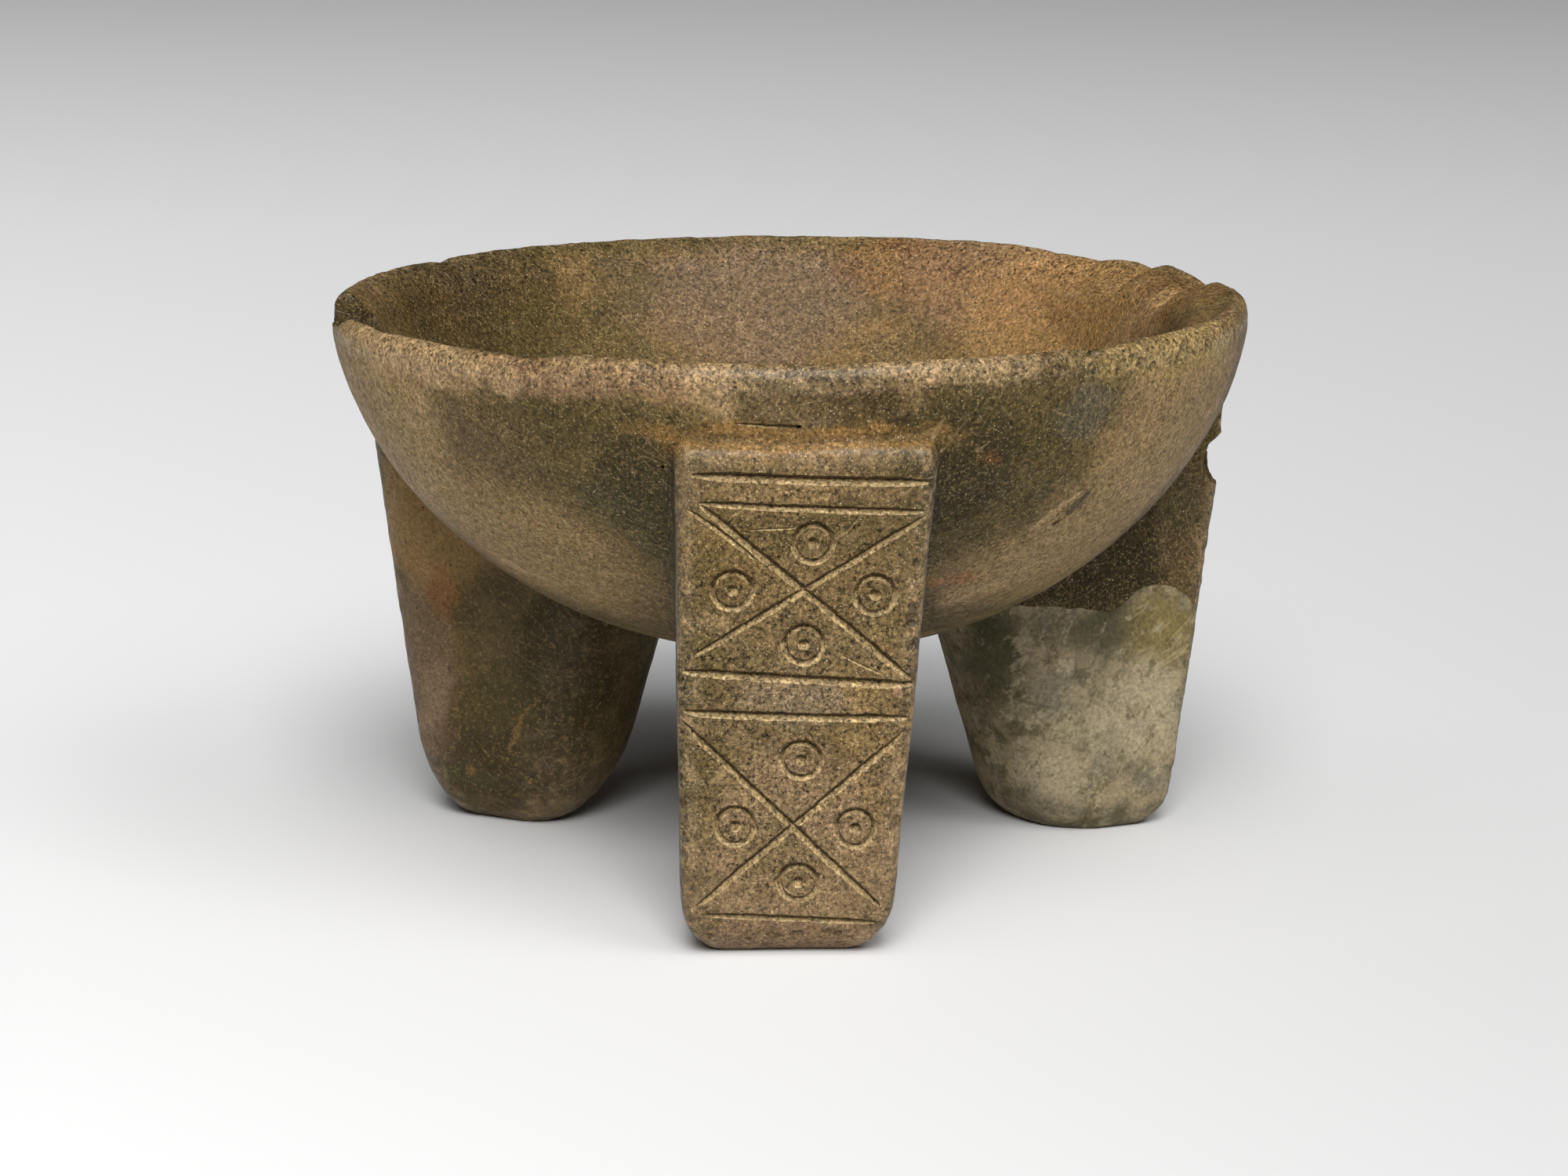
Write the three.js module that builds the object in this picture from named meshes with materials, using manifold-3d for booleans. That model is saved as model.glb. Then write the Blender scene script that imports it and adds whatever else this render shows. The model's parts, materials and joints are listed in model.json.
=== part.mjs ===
// Stone bowl on three carved legs. Millimetres, +Z up, with the origin on the floor
// under the middle of the bowl, and the front leg towards -Y.
import * as THREE from 'three';
import { mergeVertices } from 'three/addons/utils/BufferGeometryUtils.js';
import Module from 'manifold-3d';

const wasm = await Module();
wasm.setup();

// Bowl
const rimRadius = 75; // widest radius, at the foot of the lip's outer rounding
const overallHeight = 94; // floor to the crest of the lip
const undersideHeight = 36; // floor to the lowest point of the bowl
const baseThickness = 14; // stone under the middle of the cavity
const lipOuterRound = { run: 2.6, drop: 3 };
const lipInnerRound = { radius: 12, crestSlope: 25, endSlope: 60 }; // slopes down inwards, in degrees
const outerCurve = { flank: 2.25, base: 1.62 }; // 2 and 2 would be a plain ellipse
const cavityCurve = { flank: 2.2, base: 1.15 };
const outerSteps = 13;
const cavitySteps = 10;
const lipSteps = 3;
const bowlSegments = 64;
const cutterSegments = 16; // around a rounded cutter

// Wear on the lip
const notchRadius = 3.4; // a worn notch, straight across the lip
const notchDepth = 1.3;
const notchAzimuths = [13, 29.5, 39.5]; // degrees from +X
const spall = { azimuth: 187, radius: 20, depth: 2.3 }; // the flake lost at the left of the lip

// What all three legs share
const seamGap = 0.3; // left between solids that are one stone, or bonded
const ledgeBevel = { height: 3, run: 1.2 };
const soleSteps = 4;
const cornerSegments = 4;
const roundestShare = 0.97; // a corner's radius is at most this share of half the width
const cornerSpread = 0.7; // cosine of a little more than the 45 degrees to each side of a corner
const leastRadius = 0.1; // what a corner keeps where the sole's rounding takes the rest

// Legs: azimuth in degrees from +X, ledgeDrop from the lip's crest down to the leg's top
// ledge, reach from the rim's widest radius in to the outer face, depth from the outer to
// the inner face, and lean sideways, each at the foot and at the ledge. The sole is rounded
// off over a height, by an inset. The marks on the face were cut by eye, so they stand a
// little aside of its middle and slope
const frontLeg = {
  azimuth: -88.5,
  ledgeDrop: 12.5,
  reach: { foot: 9.1, ledge: 0.4 },
  depth: { foot: 28.5, ledge: 60 },
  width: { foot: 32, ledge: 39.6 },
  lean: { foot: -2.4, ledge: 0.6 },
  outerCorner: 3.5,
  innerCorner: 14,
  sole: { height: 9.6, inset: 7.6 },
  marks: { aside: 0.7, slope: -0.04 },
};
const leftLeg = {
  azimuth: 154,
  ledgeDrop: 17,
  reach: { foot: 9.7, ledge: 2.7 },
  depth: { foot: 30.5, ledge: 56.8 },
  width: { foot: 22.6, ledge: 40.9 },
  lean: { foot: 2.1, ledge: -0.2 },
  outerCorner: 8,
  innerCorner: 12.2,
  sole: { height: 12, inset: 8.2 },
  marks: { aside: 0, slope: 0 },
};
const rightLeg = {
  azimuth: 24,
  ledgeDrop: 17,
  reach: { foot: 10.4, ledge: 2.5 },
  depth: { foot: 24.7, ledge: 55.7 },
  width: { foot: 33.2, ledge: 40.7 },
  lean: { foot: 1.5, ledge: -0.8 },
  outerCorner: 3.2,
  innerCorner: 16.4,
  sole: { height: 6.5, inset: 5 },
  marks: { aside: 0, slope: 0 },
};

// The break across the right leg, seen from its side: inwards from the outer face, then
// up from the mean height of the break
const breakHeight = 40.5;
const breakLine = [
  [0, -4.5],
  [1, -3],
  [4, 1.5],
  [9.5, 4.5],
  [13.5, 2],
  [17, -1.2],
  [22, 0.2],
  [29, 0.8],
  [40, 0.2],
];
const breakSteps = 24;

// The flake lost from the right leg's outer corner
const cornerChip = { aboveBreak: 29, halfHeight: 10.5, halfWidth: 9, bite: 3.6 };
const chipRings = 8; // from the top to the bottom of the flake's bed

// Sawn and drilled decoration on the outer face of each leg
const sawCut = { width: 1.1, depth: 0.6 };
const drillRing = { diameter: 5.4, width: 0.6, depth: 0.35 };
const drillDimple = { diameter: 1.3, depth: 0.6 };
const cutSides = 4; // of a saw cut's bar and of a ring's section
const ringSegments = 16;
const dimpleSides = 6;
const topLineBelowLedge = 5;
const topBand = 4.4; // between the two lines under the ledge
const middleBand = 5.8; // between the two panels
const bottomLineHeight = 6.4;
const upperPanelShare = 0.445; // of the height that the two panels take together
const lineMargin = 1.8; // from a line's end to the leg's edge
const crossMargin = 1; // from a cross's ends to the lines above and below it
const ringFromCrossing = { up: 0.59, side: 0.61 }; // of the panel's half height and half width

const stone = { color: 0x5b4d37, roughness: 0.78 };
const stoneDark = { color: 0x4f4633, roughness: 0.78 };
const mendedStone = { color: 0x7d7559, roughness: 0.85 };

const bowlDepth = overallHeight - lipOuterRound.drop - undersideHeight;
const cavityFloor = undersideHeight + baseThickness;
const rightAngle = Math.PI / 2;

// A closed surface as a solid, and back
function toSolid(geometry) {
  const bare = geometry.clone();
  bare.deleteAttribute('normal');
  bare.deleteAttribute('uv');
  const merged = mergeVertices(bare);
  const corners = merged.index.array;
  const kept = [];
  for (let i = 0; i < corners.length; i += 3) {
    const [a, b, c] = [corners[i], corners[i + 1], corners[i + 2]];
    if (a !== b && b !== c && c !== a) kept.push(a, b, c);
  }
  const vertProperties = new Float32Array(merged.attributes.position.array);
  const triVerts = new Uint32Array(kept);
  return new wasm.Manifold(new wasm.Mesh({ numProp: 3, vertProperties, triVerts }));
}

function toGeometry(solid) {
  const mesh = solid.getMesh();
  const geometry = new THREE.BufferGeometry();
  geometry.setAttribute('position', new THREE.BufferAttribute(mesh.vertProperties, 3));
  geometry.setIndex(new THREE.BufferAttribute(mesh.triVerts, 1));
  geometry.computeVertexNormals();
  return geometry;
}

// Points on a quarter of a rounded outline, from its widest radius to the axis underneath
function bowlQuarter(radius, top, depth, curve, steps) {
  return Array.from({ length: steps + 1 }, (_, i) => {
    const angle = (rightAngle * i) / steps;
    const across = Math.max(Math.cos(angle), 0) ** (2 / curve.flank);
    const down = Math.sin(angle) ** (2 / curve.base);
    return new THREE.Vector2(i === steps ? 0 : radius * across, top - depth * down);
  });
}

// The lip's outer rounding, from the wall up to the crest
function outerLip() {
  const { run, drop } = lipOuterRound;
  return Array.from({ length: lipSteps + 1 }, (_, i) => {
    const angle = (rightAngle * i) / lipSteps;
    const radius = rimRadius - run * (1 - Math.cos(angle));
    return new THREE.Vector2(radius, overallHeight - drop * (1 - Math.sin(angle)));
  });
}

// The lip's inner rounding, from the crest down to where the cavity's wall begins
function innerLip() {
  const crestRadius = rimRadius - lipOuterRound.run;
  const crestSlope = THREE.MathUtils.degToRad(lipInnerRound.crestSlope);
  const endSlope = THREE.MathUtils.degToRad(lipInnerRound.endSlope);
  return Array.from({ length: lipSteps + 1 }, (_, i) => {
    const slope = crestSlope + ((endSlope - crestSlope) * i) / lipSteps;
    const inwards = lipInnerRound.radius * (Math.sin(slope) - Math.sin(crestSlope));
    const down = lipInnerRound.radius * (Math.cos(crestSlope) - Math.cos(slope));
    return new THREE.Vector2(crestRadius - inwards, overallHeight - down);
  });
}

function turned(points) {
  const lathe = new THREE.LatheGeometry(points, bowlSegments);
  lathe.rotateX(rightAngle);
  return toSolid(lathe);
}

// The bowl's outer form, filled to above the lip, and grown all round by a margin
function bowlEnvelope(margin) {
  const top = overallHeight - lipOuterRound.drop;
  const flank = bowlQuarter(rimRadius + margin, top, bowlDepth + margin, outerCurve, outerSteps);
  const lid = overallHeight + margin;
  const above = [new THREE.Vector2(rimRadius + margin, lid), new THREE.Vector2(0, lid)];
  return turned([...flank.reverse(), ...above]);
}

function bowlBlank() {
  const outerTop = overallHeight - lipOuterRound.drop;
  const outer = bowlQuarter(rimRadius, outerTop, bowlDepth, outerCurve, outerSteps).reverse();
  const inner = innerLip();
  const { x: cavityRadius, y: cavityTop } = inner[lipSteps];
  const cavity = bowlQuarter(cavityRadius, cavityTop, cavityTop - cavityFloor, cavityCurve, cavitySteps);
  return turned([...outer, ...outerLip().slice(1), ...inner.slice(1), ...cavity.slice(1)]);
}

// A round bar laid through the lip, along the radius at an azimuth
function lipCutter(azimuth, radius, depth) {
  const bar = new THREE.CylinderGeometry(radius, radius, rimRadius, cutterSegments);
  bar.rotateZ(rightAngle);
  bar.translate(rimRadius, 0, overallHeight + radius - depth);
  bar.rotateZ(THREE.MathUtils.degToRad(azimuth));
  return toSolid(bar);
}

function bowlSolid() {
  const cutters = notchAzimuths.map((azimuth) => lipCutter(azimuth, notchRadius, notchDepth));
  cutters.push(lipCutter(spall.azimuth, spall.radius, spall.depth));
  return cutters.reduce((solid, cutter) => solid.subtract(cutter), bowlBlank());
}

function ledgeHeight(leg) {
  return overallHeight - leg.ledgeDrop;
}

// A leg's sizes at a height: its outer and inner face, half its width and its middle
function legAt(leg, height) {
  const share = height / ledgeHeight(leg);
  const between = (pair) => pair.foot + (pair.ledge - pair.foot) * share;
  const outer = rimRadius - between(leg.reach);
  return {
    outer,
    inner: outer - between(leg.depth),
    half: between(leg.width) / 2,
    middle: between(leg.lean),
  };
}

// Heights at which a leg is drawn, with how far its outline pulls in there, all round and
// at its outer face alone
function legLevels(leg) {
  const sole = Array.from({ length: soleSteps + 1 }, (_, i) => {
    const angle = (rightAngle * i) / soleSteps;
    const height = leg.sole.height * (1 - Math.cos(angle));
    return { height, inset: leg.sole.inset * (1 - Math.sin(angle)), bevel: 0 };
  });
  const ledge = [
    { height: ledgeHeight(leg) - ledgeBevel.height, inset: 0, bevel: 0 },
    { height: ledgeHeight(leg), inset: 0, bevel: ledgeBevel.run },
  ];
  return [...sole, ...ledge];
}

// The four corners of a leg's outline at a level, x outwards and y sideways: flat outside
// and round inside, counterclockwise from the outer corner on the +y side
function legCorners(leg, level) {
  const { outer, inner, half, middle } = legAt(leg, level.height);
  const fitted = (radius) => Math.max(Math.min(radius, half * roundestShare), level.inset + leastRadius);
  const near = fitted(leg.outerCorner);
  const far = fitted(leg.innerCorner);
  return [
    { x: outer - near, y: middle + half - near, radius: near },
    { x: inner + far, y: middle + half - far, radius: far },
    { x: inner + far, y: middle - half + far, radius: far },
    { x: outer - near, y: middle - half + near, radius: near },
  ];
}

function legSection(corners) {
  const shape = new THREE.Shape();
  corners.forEach(({ x, y, radius }, turn) => {
    shape.absarc(x, y, radius, rightAngle * turn, rightAngle * (turn + 1));
  });
  return shape;
}

// The corner whose arc holds a point of the outline
function cornerOf(corners, x, y) {
  const miss = corners.map((corner) => Math.abs(Math.hypot(x - corner.x, y - corner.y) - corner.radius));
  const onSide = corners.map((corner, turn) => {
    const angle = Math.atan2(y - corner.y, x - corner.x) - rightAngle * (turn + 0.5);
    return Math.cos(angle) > cornerSpread ? miss[turn] : Infinity;
  });
  return onSide.indexOf(Math.min(...onSide));
}

// The whole leg in its own frame, x outwards and y sideways, running up inside the bowl
function legBlank(leg) {
  const levels = legLevels(leg);
  const steps = levels.length - 1;
  const drawn = legCorners(leg, levels[steps]);
  const blank = new THREE.ExtrudeGeometry(legSection(drawn), {
    depth: 1,
    steps,
    bevelEnabled: false,
    curveSegments: cornerSegments,
  });
  const points = blank.attributes.position;
  for (let i = 0; i < points.count; i += 1) {
    const level = levels[Math.round(points.getZ(i) * steps)];
    const turn = cornerOf(drawn, points.getX(i), points.getY(i));
    const angle = Math.atan2(points.getY(i) - drawn[turn].y, points.getX(i) - drawn[turn].x);
    const here = legCorners(leg, level)[turn];
    const radius = here.radius - level.inset;
    const setIn = turn === 0 || turn === 3 ? level.bevel : 0;
    const outwards = here.x - setIn + radius * Math.cos(angle);
    points.setXYZ(i, outwards, here.y + radius * Math.sin(angle), level.height);
  }
  return toSolid(blank);
}

// Places a cutter drawn at the face's own origin: x along the face's width, y up the
// face, z out of the stone
function onFace(geometry, leg, side, height) {
  const foot = legAt(leg, 0).outer;
  const top = legAt(leg, ledgeHeight(leg)).outer;
  const sideways = new THREE.Vector3(0, 1, 0);
  const upwards = new THREE.Vector3(top - foot, 0, ledgeHeight(leg)).normalize();
  const outwards = new THREE.Vector3().crossVectors(sideways, upwards);
  const here = legAt(leg, height);
  const place = new THREE.Matrix4().makeBasis(sideways, upwards, outwards);
  place.setPosition(here.outer, side, height);
  return geometry.applyMatrix4(place);
}

// Where the carver's hand put a mark that was meant for a place on the face
function marked(leg, [side, height]) {
  const aside = side + leg.marks.aside;
  return new THREE.Vector2(aside, height + leg.marks.slope * aside);
}

// A V-shaped saw cut between two places on the face, each [side, height]
function sawLine(leg, from, to) {
  const start = marked(leg, from);
  const run = marked(leg, to).sub(start);
  const middle = start.clone().addScaledVector(run, 0.5);
  const bar = new THREE.CylinderGeometry(1, 1, run.length(), cutSides);
  bar.scale(sawCut.width / 2, 1, sawCut.depth);
  bar.rotateZ(run.angle() - rightAngle);
  return toSolid(onFace(bar, leg, middle.x, middle.y));
}

// A hollow drill's ring with the dimple at its middle. The dimple's cone stands half out of
// the stone, so that it is drawn twice as wide and twice as high as the dimple
function drillMark(leg, place) {
  const { x: side, y: height } = marked(leg, place);
  const [middleRadius, tube] = [drillRing.diameter / 2, drillRing.width / 2];
  const ring = new THREE.TorusGeometry(middleRadius, tube, cutSides, ringSegments);
  ring.scale(1, 1, drillRing.depth / tube);
  const dimple = new THREE.ConeGeometry(drillDimple.diameter, 2 * drillDimple.depth, dimpleSides);
  dimple.rotateX(-rightAngle);
  return toSolid(onFace(ring, leg, side, height)).add(toSolid(onFace(dimple, leg, side, height)));
}

// One panel: two crossing cuts, and a ring in each of the four corners between them
function panelMarks(leg, low, high) {
  const middle = (low + high) / 2;
  const halfHeight = (high - low) / 2;
  const edges = (height) => {
    const { half, middle: centre } = legAt(leg, height);
    return { left: centre - half + lineMargin, right: centre + half - lineMargin };
  };
  const [top, bottom] = [high - crossMargin, low + crossMargin];
  const { left, right } = edges(middle);
  const centre = (left + right) / 2;
  const sideStep = ((right - left) / 2) * ringFromCrossing.side;
  const upStep = halfHeight * ringFromCrossing.up;
  const rings = [
    [centre, middle + upStep],
    [centre, middle - upStep],
    [centre - sideStep, middle],
    [centre + sideStep, middle],
  ];
  return [
    sawLine(leg, [edges(top).left, top], [edges(bottom).right, bottom]),
    sawLine(leg, [edges(top).right, top], [edges(bottom).left, bottom]),
    ...rings.map((place) => drillMark(leg, place)),
  ];
}

function decorationMarks(leg) {
  const firstLine = ledgeHeight(leg) - topLineBelowLedge;
  const upperTop = firstLine - topBand;
  const panelsHeight = upperTop - bottomLineHeight - middleBand;
  const upperBottom = upperTop - panelsHeight * upperPanelShare;
  const lowerTop = upperBottom - middleBand;
  const lines = [firstLine, upperTop, upperBottom, lowerTop, bottomLineHeight].map((height) => {
    const { half, middle } = legAt(leg, height);
    const reach = half - lineMargin;
    return sawLine(leg, [middle - reach, height], [middle + reach, height]);
  });
  const panels = [[upperBottom, upperTop], [bottomLineHeight, lowerTop]];
  return [...lines, ...panels.flatMap(([low, high]) => panelMarks(leg, low, high))];
}

function turnTo(solid, azimuth) {
  return solid.rotate([0, 0, azimuth]);
}

// A leg cut to fit under the bowl, still in its own frame, then carved
function carvedLeg(leg) {
  const seated = legBlank(leg).subtract(turnTo(bowlEnvelope(seamGap), -leg.azimuth));
  return decorationMarks(leg).reduce((solid, mark) => solid.subtract(mark), seated);
}

// Everything under the break across the right leg, raised by a gap
function belowBreak(gap) {
  const outer = legAt(rightLeg, breakHeight).outer;
  const curve = new THREE.SplineCurve(
    breakLine.map(([inwards, up]) => new THREE.Vector2(outer - inwards, breakHeight + up + gap)),
  );
  const crest = curve.getPoints(breakSteps);
  const clear = rimRadius * 2;
  const outline = new THREE.Shape([
    new THREE.Vector2(clear, -clear),
    new THREE.Vector2(clear, crest[0].y),
    ...crest,
    new THREE.Vector2(-clear, crest[breakSteps].y),
    new THREE.Vector2(-clear, -clear),
  ]);
  const block = new THREE.ExtrudeGeometry(outline, { depth: clear, bevelEnabled: false });
  block.translate(0, 0, -clear / 2);
  block.rotateX(rightAngle);
  return toSolid(block);
}

// The flake's bed on the right leg's outer corner, on the side nearest the front leg
function chipCutter() {
  const height = breakHeight + cornerChip.aboveBreak;
  const { outer, half, middle } = legAt(rightLeg, height);
  const flake = new THREE.SphereGeometry(1, cutterSegments, chipRings);
  flake.scale(cornerChip.bite, cornerChip.halfWidth, cornerChip.halfHeight);
  flake.translate(outer, middle - half, height);
  return toSolid(flake);
}

function addMesh(group, name, solid, look) {
  const material = new THREE.MeshStandardMaterial({ ...look, metalness: 0 });
  const mesh = new THREE.Mesh(toGeometry(solid), material);
  mesh.name = name;
  group.add(mesh);
  return mesh;
}

function addLeg(group, name, leg, solid, look) {
  const mesh = addMesh(group, name, solid, look);
  mesh.rotation.z = THREE.MathUtils.degToRad(leg.azimuth);
}

const bowlOnLegs = new THREE.Group();
addMesh(bowlOnLegs, 'bowl', bowlSolid(), stone);
addLeg(bowlOnLegs, 'front_leg', frontLeg, carvedLeg(frontLeg), stone);
addLeg(bowlOnLegs, 'left_leg', leftLeg, carvedLeg(leftLeg), stoneDark);
const wholeRightLeg = carvedLeg(rightLeg).subtract(chipCutter());
addLeg(bowlOnLegs, 'right_leg', rightLeg, wholeRightLeg.subtract(belowBreak(seamGap)), stoneDark);
addLeg(bowlOnLegs, 'right_leg_foot', rightLeg, wholeRightLeg.intersect(belowBreak(0)), mendedStone);

export default bowlOnLegs;
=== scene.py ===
"""Looks of a small tripod bowl carved from one stone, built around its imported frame.

Metres, +Z up, the floor at 0, the bowl's axis over the origin, the front leg towards -Y.
The whole vessel is roughed out as one block, worn, and then parted into its pieces, so that
neighbouring pieces meet without a step. The carving is cut last, into the worn surface.
"""

import json
import logging
import math
import random
from contextlib import contextmanager
from dataclasses import dataclass, field
from enum import Enum
from typing import Callable, Iterator, Optional, Sequence

import bmesh
import bpy
import numpy as np
from mathutils import Matrix, Vector
from mathutils.kdtree import KDTree

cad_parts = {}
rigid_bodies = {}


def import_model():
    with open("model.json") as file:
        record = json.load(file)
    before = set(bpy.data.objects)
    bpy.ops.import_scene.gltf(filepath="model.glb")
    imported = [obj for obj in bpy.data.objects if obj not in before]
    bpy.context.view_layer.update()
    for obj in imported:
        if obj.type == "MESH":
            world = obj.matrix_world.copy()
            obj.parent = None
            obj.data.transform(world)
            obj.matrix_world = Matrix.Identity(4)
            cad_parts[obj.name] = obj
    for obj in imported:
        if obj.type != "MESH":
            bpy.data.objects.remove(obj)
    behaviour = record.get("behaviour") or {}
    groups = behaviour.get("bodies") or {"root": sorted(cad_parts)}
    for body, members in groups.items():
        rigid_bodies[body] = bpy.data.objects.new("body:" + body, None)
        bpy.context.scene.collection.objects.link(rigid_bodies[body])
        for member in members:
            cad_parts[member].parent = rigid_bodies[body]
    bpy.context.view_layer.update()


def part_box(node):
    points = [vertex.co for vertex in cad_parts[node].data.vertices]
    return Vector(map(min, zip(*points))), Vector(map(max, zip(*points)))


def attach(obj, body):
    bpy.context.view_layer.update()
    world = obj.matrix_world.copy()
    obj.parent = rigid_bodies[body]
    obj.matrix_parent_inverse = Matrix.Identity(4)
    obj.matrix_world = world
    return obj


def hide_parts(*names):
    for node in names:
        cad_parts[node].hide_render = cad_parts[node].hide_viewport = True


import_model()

MM = 0.001
BODY = "root"
GRAIN = 0.8 * MM  # the voxel that the block is remeshed at
LEVEL = 0.01 * MM  # heights closer than this are the same
DOUBLED = 0.001 * MM  # vertices closer than this are one
CLEAR = 0.5 * MM  # how far a groove's cutter stands clear of the surface
ROOM = 0.25 * MM  # kept free inside the CAD's box for the uneven surface
SHARP = 38  # degrees between two faces from which their edge looks sharp
log = logging.getLogger("tripod_bowl")

Place = tuple[float, float, float]
Flat = tuple[float, float]
Colour = tuple[float, float, float]


class Join(Enum):
    """How one solid is combined with another."""

    ADD = "UNION"
    CUT = "DIFFERENCE"
    KEEP_SHARED = "INTERSECT"


class Falloff(Enum):
    """How a push on a surface fades with distance."""

    SOFT = "SMOOTH"
    CREASED = "SHARP"


@dataclass(frozen=True)
class Ends:
    """A leg's size at its foot and at its ledge.

    Args:
        foot: the size on the floor, in metres.
        ledge: the size at the ledge on top of the leg, in metres.
    """

    foot: float
    ledge: float

    def at(self, share: float) -> float:
        """The size at a share of the way up from the foot to the ledge."""
        return self.foot + (self.ledge - self.foot) * share


class Bench:
    """The hand tools that every piece is made with."""

    @staticmethod
    def clear() -> None:
        """Deselects everything, so that the next primitive stands alone."""
        for other in bpy.context.view_layer.objects:
            other.select_set(False)

    @staticmethod
    def hold(piece: bpy.types.Object) -> None:
        """Makes one piece the only selected one, and the active one.

        Args:
            piece: the object to select.
        """
        Bench.clear()
        piece.select_set(True)
        bpy.context.view_layer.objects.active = piece

    @staticmethod
    def new(name: str) -> bpy.types.Object:
        """Names the primitive that was just added.

        Args:
            name: its name.

        Returns:
            The primitive.
        """
        piece = bpy.context.active_object
        piece.name = name
        return piece

    @staticmethod
    @contextmanager
    def editing(piece: bpy.types.Object, kind: str = "VERT") -> Iterator[None]:
        """Opens a piece in edit mode with nothing selected, and closes it afterwards.

        Args:
            piece: the mesh to edit.
            kind: what is selected there: VERT, EDGE or FACE.

        Returns:
            A context in which mesh operators act on the piece.
        """
        Bench.hold(piece)
        bpy.ops.object.mode_set(mode="EDIT")
        bpy.ops.mesh.select_mode(type=kind)
        bpy.ops.mesh.select_all(action="DESELECT")
        yield
        bpy.ops.object.mode_set(mode="OBJECT")

    @staticmethod
    def pick(piece: bpy.types.Object, test: Callable[[Vector], bool]) -> int:
        """Selects vertices by place, and the edges and faces between them.

        Args:
            piece: a mesh that is open in edit mode.
            test: says of a place in the piece's own space whether it is wanted.

        Returns:
            The number of vertices selected.
        """
        bpy.ops.mesh.select_all(action="DESELECT")
        mesh = bmesh.from_edit_mesh(piece.data)
        wanted = [vertex for vertex in mesh.verts if test(vertex.co)]
        for vertex in wanted:
            vertex.select_set(True)
        mesh.select_flush(True)
        bmesh.update_edit_mesh(piece.data)
        return len(wanted)

    @staticmethod
    def apply(piece: bpy.types.Object, kind: str, **settings: object) -> None:
        """Adds a modifier to a piece and applies it.

        Args:
            piece: the mesh to change.
            kind: the modifier's type.
            settings: its properties by name.
        """
        Bench.hold(piece)
        modifier = piece.modifiers.new(kind.title(), kind)
        for name, value in settings.items():
            setattr(modifier, name, value)
        bpy.ops.object.modifier_apply(modifier=modifier.name)

    @staticmethod
    def combine(
        piece: bpy.types.Object, other: bpy.types.Object, how: Join, keep: bool = False
    ) -> None:
        """Joins, cuts or trims a piece by another solid.

        Args:
            piece: the solid that is changed.
            other: the solid that it is combined with.
            how: which of the three ways.
            keep: whether the other solid is still needed.
        """
        Bench.apply(
            piece,
            "BOOLEAN",
            object=other,
            operation=how.value,
            solver="MANIFOLD",
            material_mode="TRANSFER",
        )
        if not keep:
            Bench.discard(other)

    @staticmethod
    def triangles(piece: bpy.types.Object) -> int:
        """How many triangles a piece's faces make."""
        return sum(len(face.vertices) - 2 for face in piece.data.polygons)

    @staticmethod
    def discard(piece: bpy.types.Object) -> None:
        """Removes a solid that only served as a tool, with its data.

        Args:
            piece: the solid to remove.
        """
        data = piece.data
        bpy.data.objects.remove(piece)
        if isinstance(data, bpy.types.Mesh):
            bpy.data.meshes.remove(data)
        else:
            bpy.data.curves.remove(data)

    @staticmethod
    def copy(piece: bpy.types.Object, name: str) -> bpy.types.Object:
        """Copies a piece with a mesh of its own.

        Args:
            piece: the solid to copy.
            name: the copy's name.

        Returns:
            The copy.
        """
        twin = piece.copy()
        twin.data = piece.data.copy()
        twin.name = name
        bpy.context.scene.collection.objects.link(twin)
        return twin

    @staticmethod
    def settle(piece: bpy.types.Object) -> None:
        """Puts a piece's place, turn and scale into its mesh."""
        Bench.hold(piece)
        bpy.ops.object.transform_apply(location=True, rotation=True, scale=True)

    @staticmethod
    def face_outwards(piece: bpy.types.Object) -> None:
        """Merges doubled vertices and turns every face to look out.

        Args:
            piece: a closed solid.
        """
        with Bench.editing(piece):
            bpy.ops.mesh.select_all(action="SELECT")
            bpy.ops.mesh.remove_doubles(threshold=DOUBLED)
            bpy.ops.mesh.normals_make_consistent(inside=False)

    @staticmethod
    def nudge(
        piece: bpy.types.Object,
        test: Callable[[Vector], bool],
        move: Place,
        reach: float,
        fade: Falloff,
    ) -> None:
        """Pushes part of a surface and draws its surroundings along.

        Args:
            piece: the mesh to push, open in edit mode.
            test: says of a place whether it is pushed all the way.
            move: the push, in metres.
            reach: how far around it the surface follows.
            fade: how the push fades over that reach.
        """
        if Bench.pick(piece, test):
            bpy.ops.transform.translate(
                value=move,
                use_proportional_edit=True,
                proportional_edit_falloff=fade.value,
                proportional_size=reach,
            )

    @staticmethod
    def turn_solid(name: str, profile: Sequence[Flat], segments: int) -> bpy.types.Object:
        """Turns a round solid, ring by ring, from one end of its profile to the other.

        Args:
            name: the solid's name.
            profile: radius and height of each ring; both ends are closed by a flat face.
            segments: the number of sides of each ring.

        Returns:
            The closed solid.
        """
        Bench.clear()
        radius, height = profile[0]
        bpy.ops.mesh.primitive_circle_add(
            vertices=segments, radius=radius, fill_type="NGON", location=(0, 0, height)
        )
        piece = Bench.new(name)
        Bench.settle(piece)
        with Bench.editing(piece):
            bpy.ops.mesh.select_all(action="SELECT")
            for (here, low), (there, high) in zip(profile, profile[1:]):
                move, wider = (0, 0, high - low), there / here
                bpy.ops.mesh.extrude_region_move(TRANSFORM_OT_translate={"value": move})
                bpy.ops.transform.resize(value=(wider, wider, 1), center_override=(0, 0, high))
        Bench.face_outwards(piece)
        return piece

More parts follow.
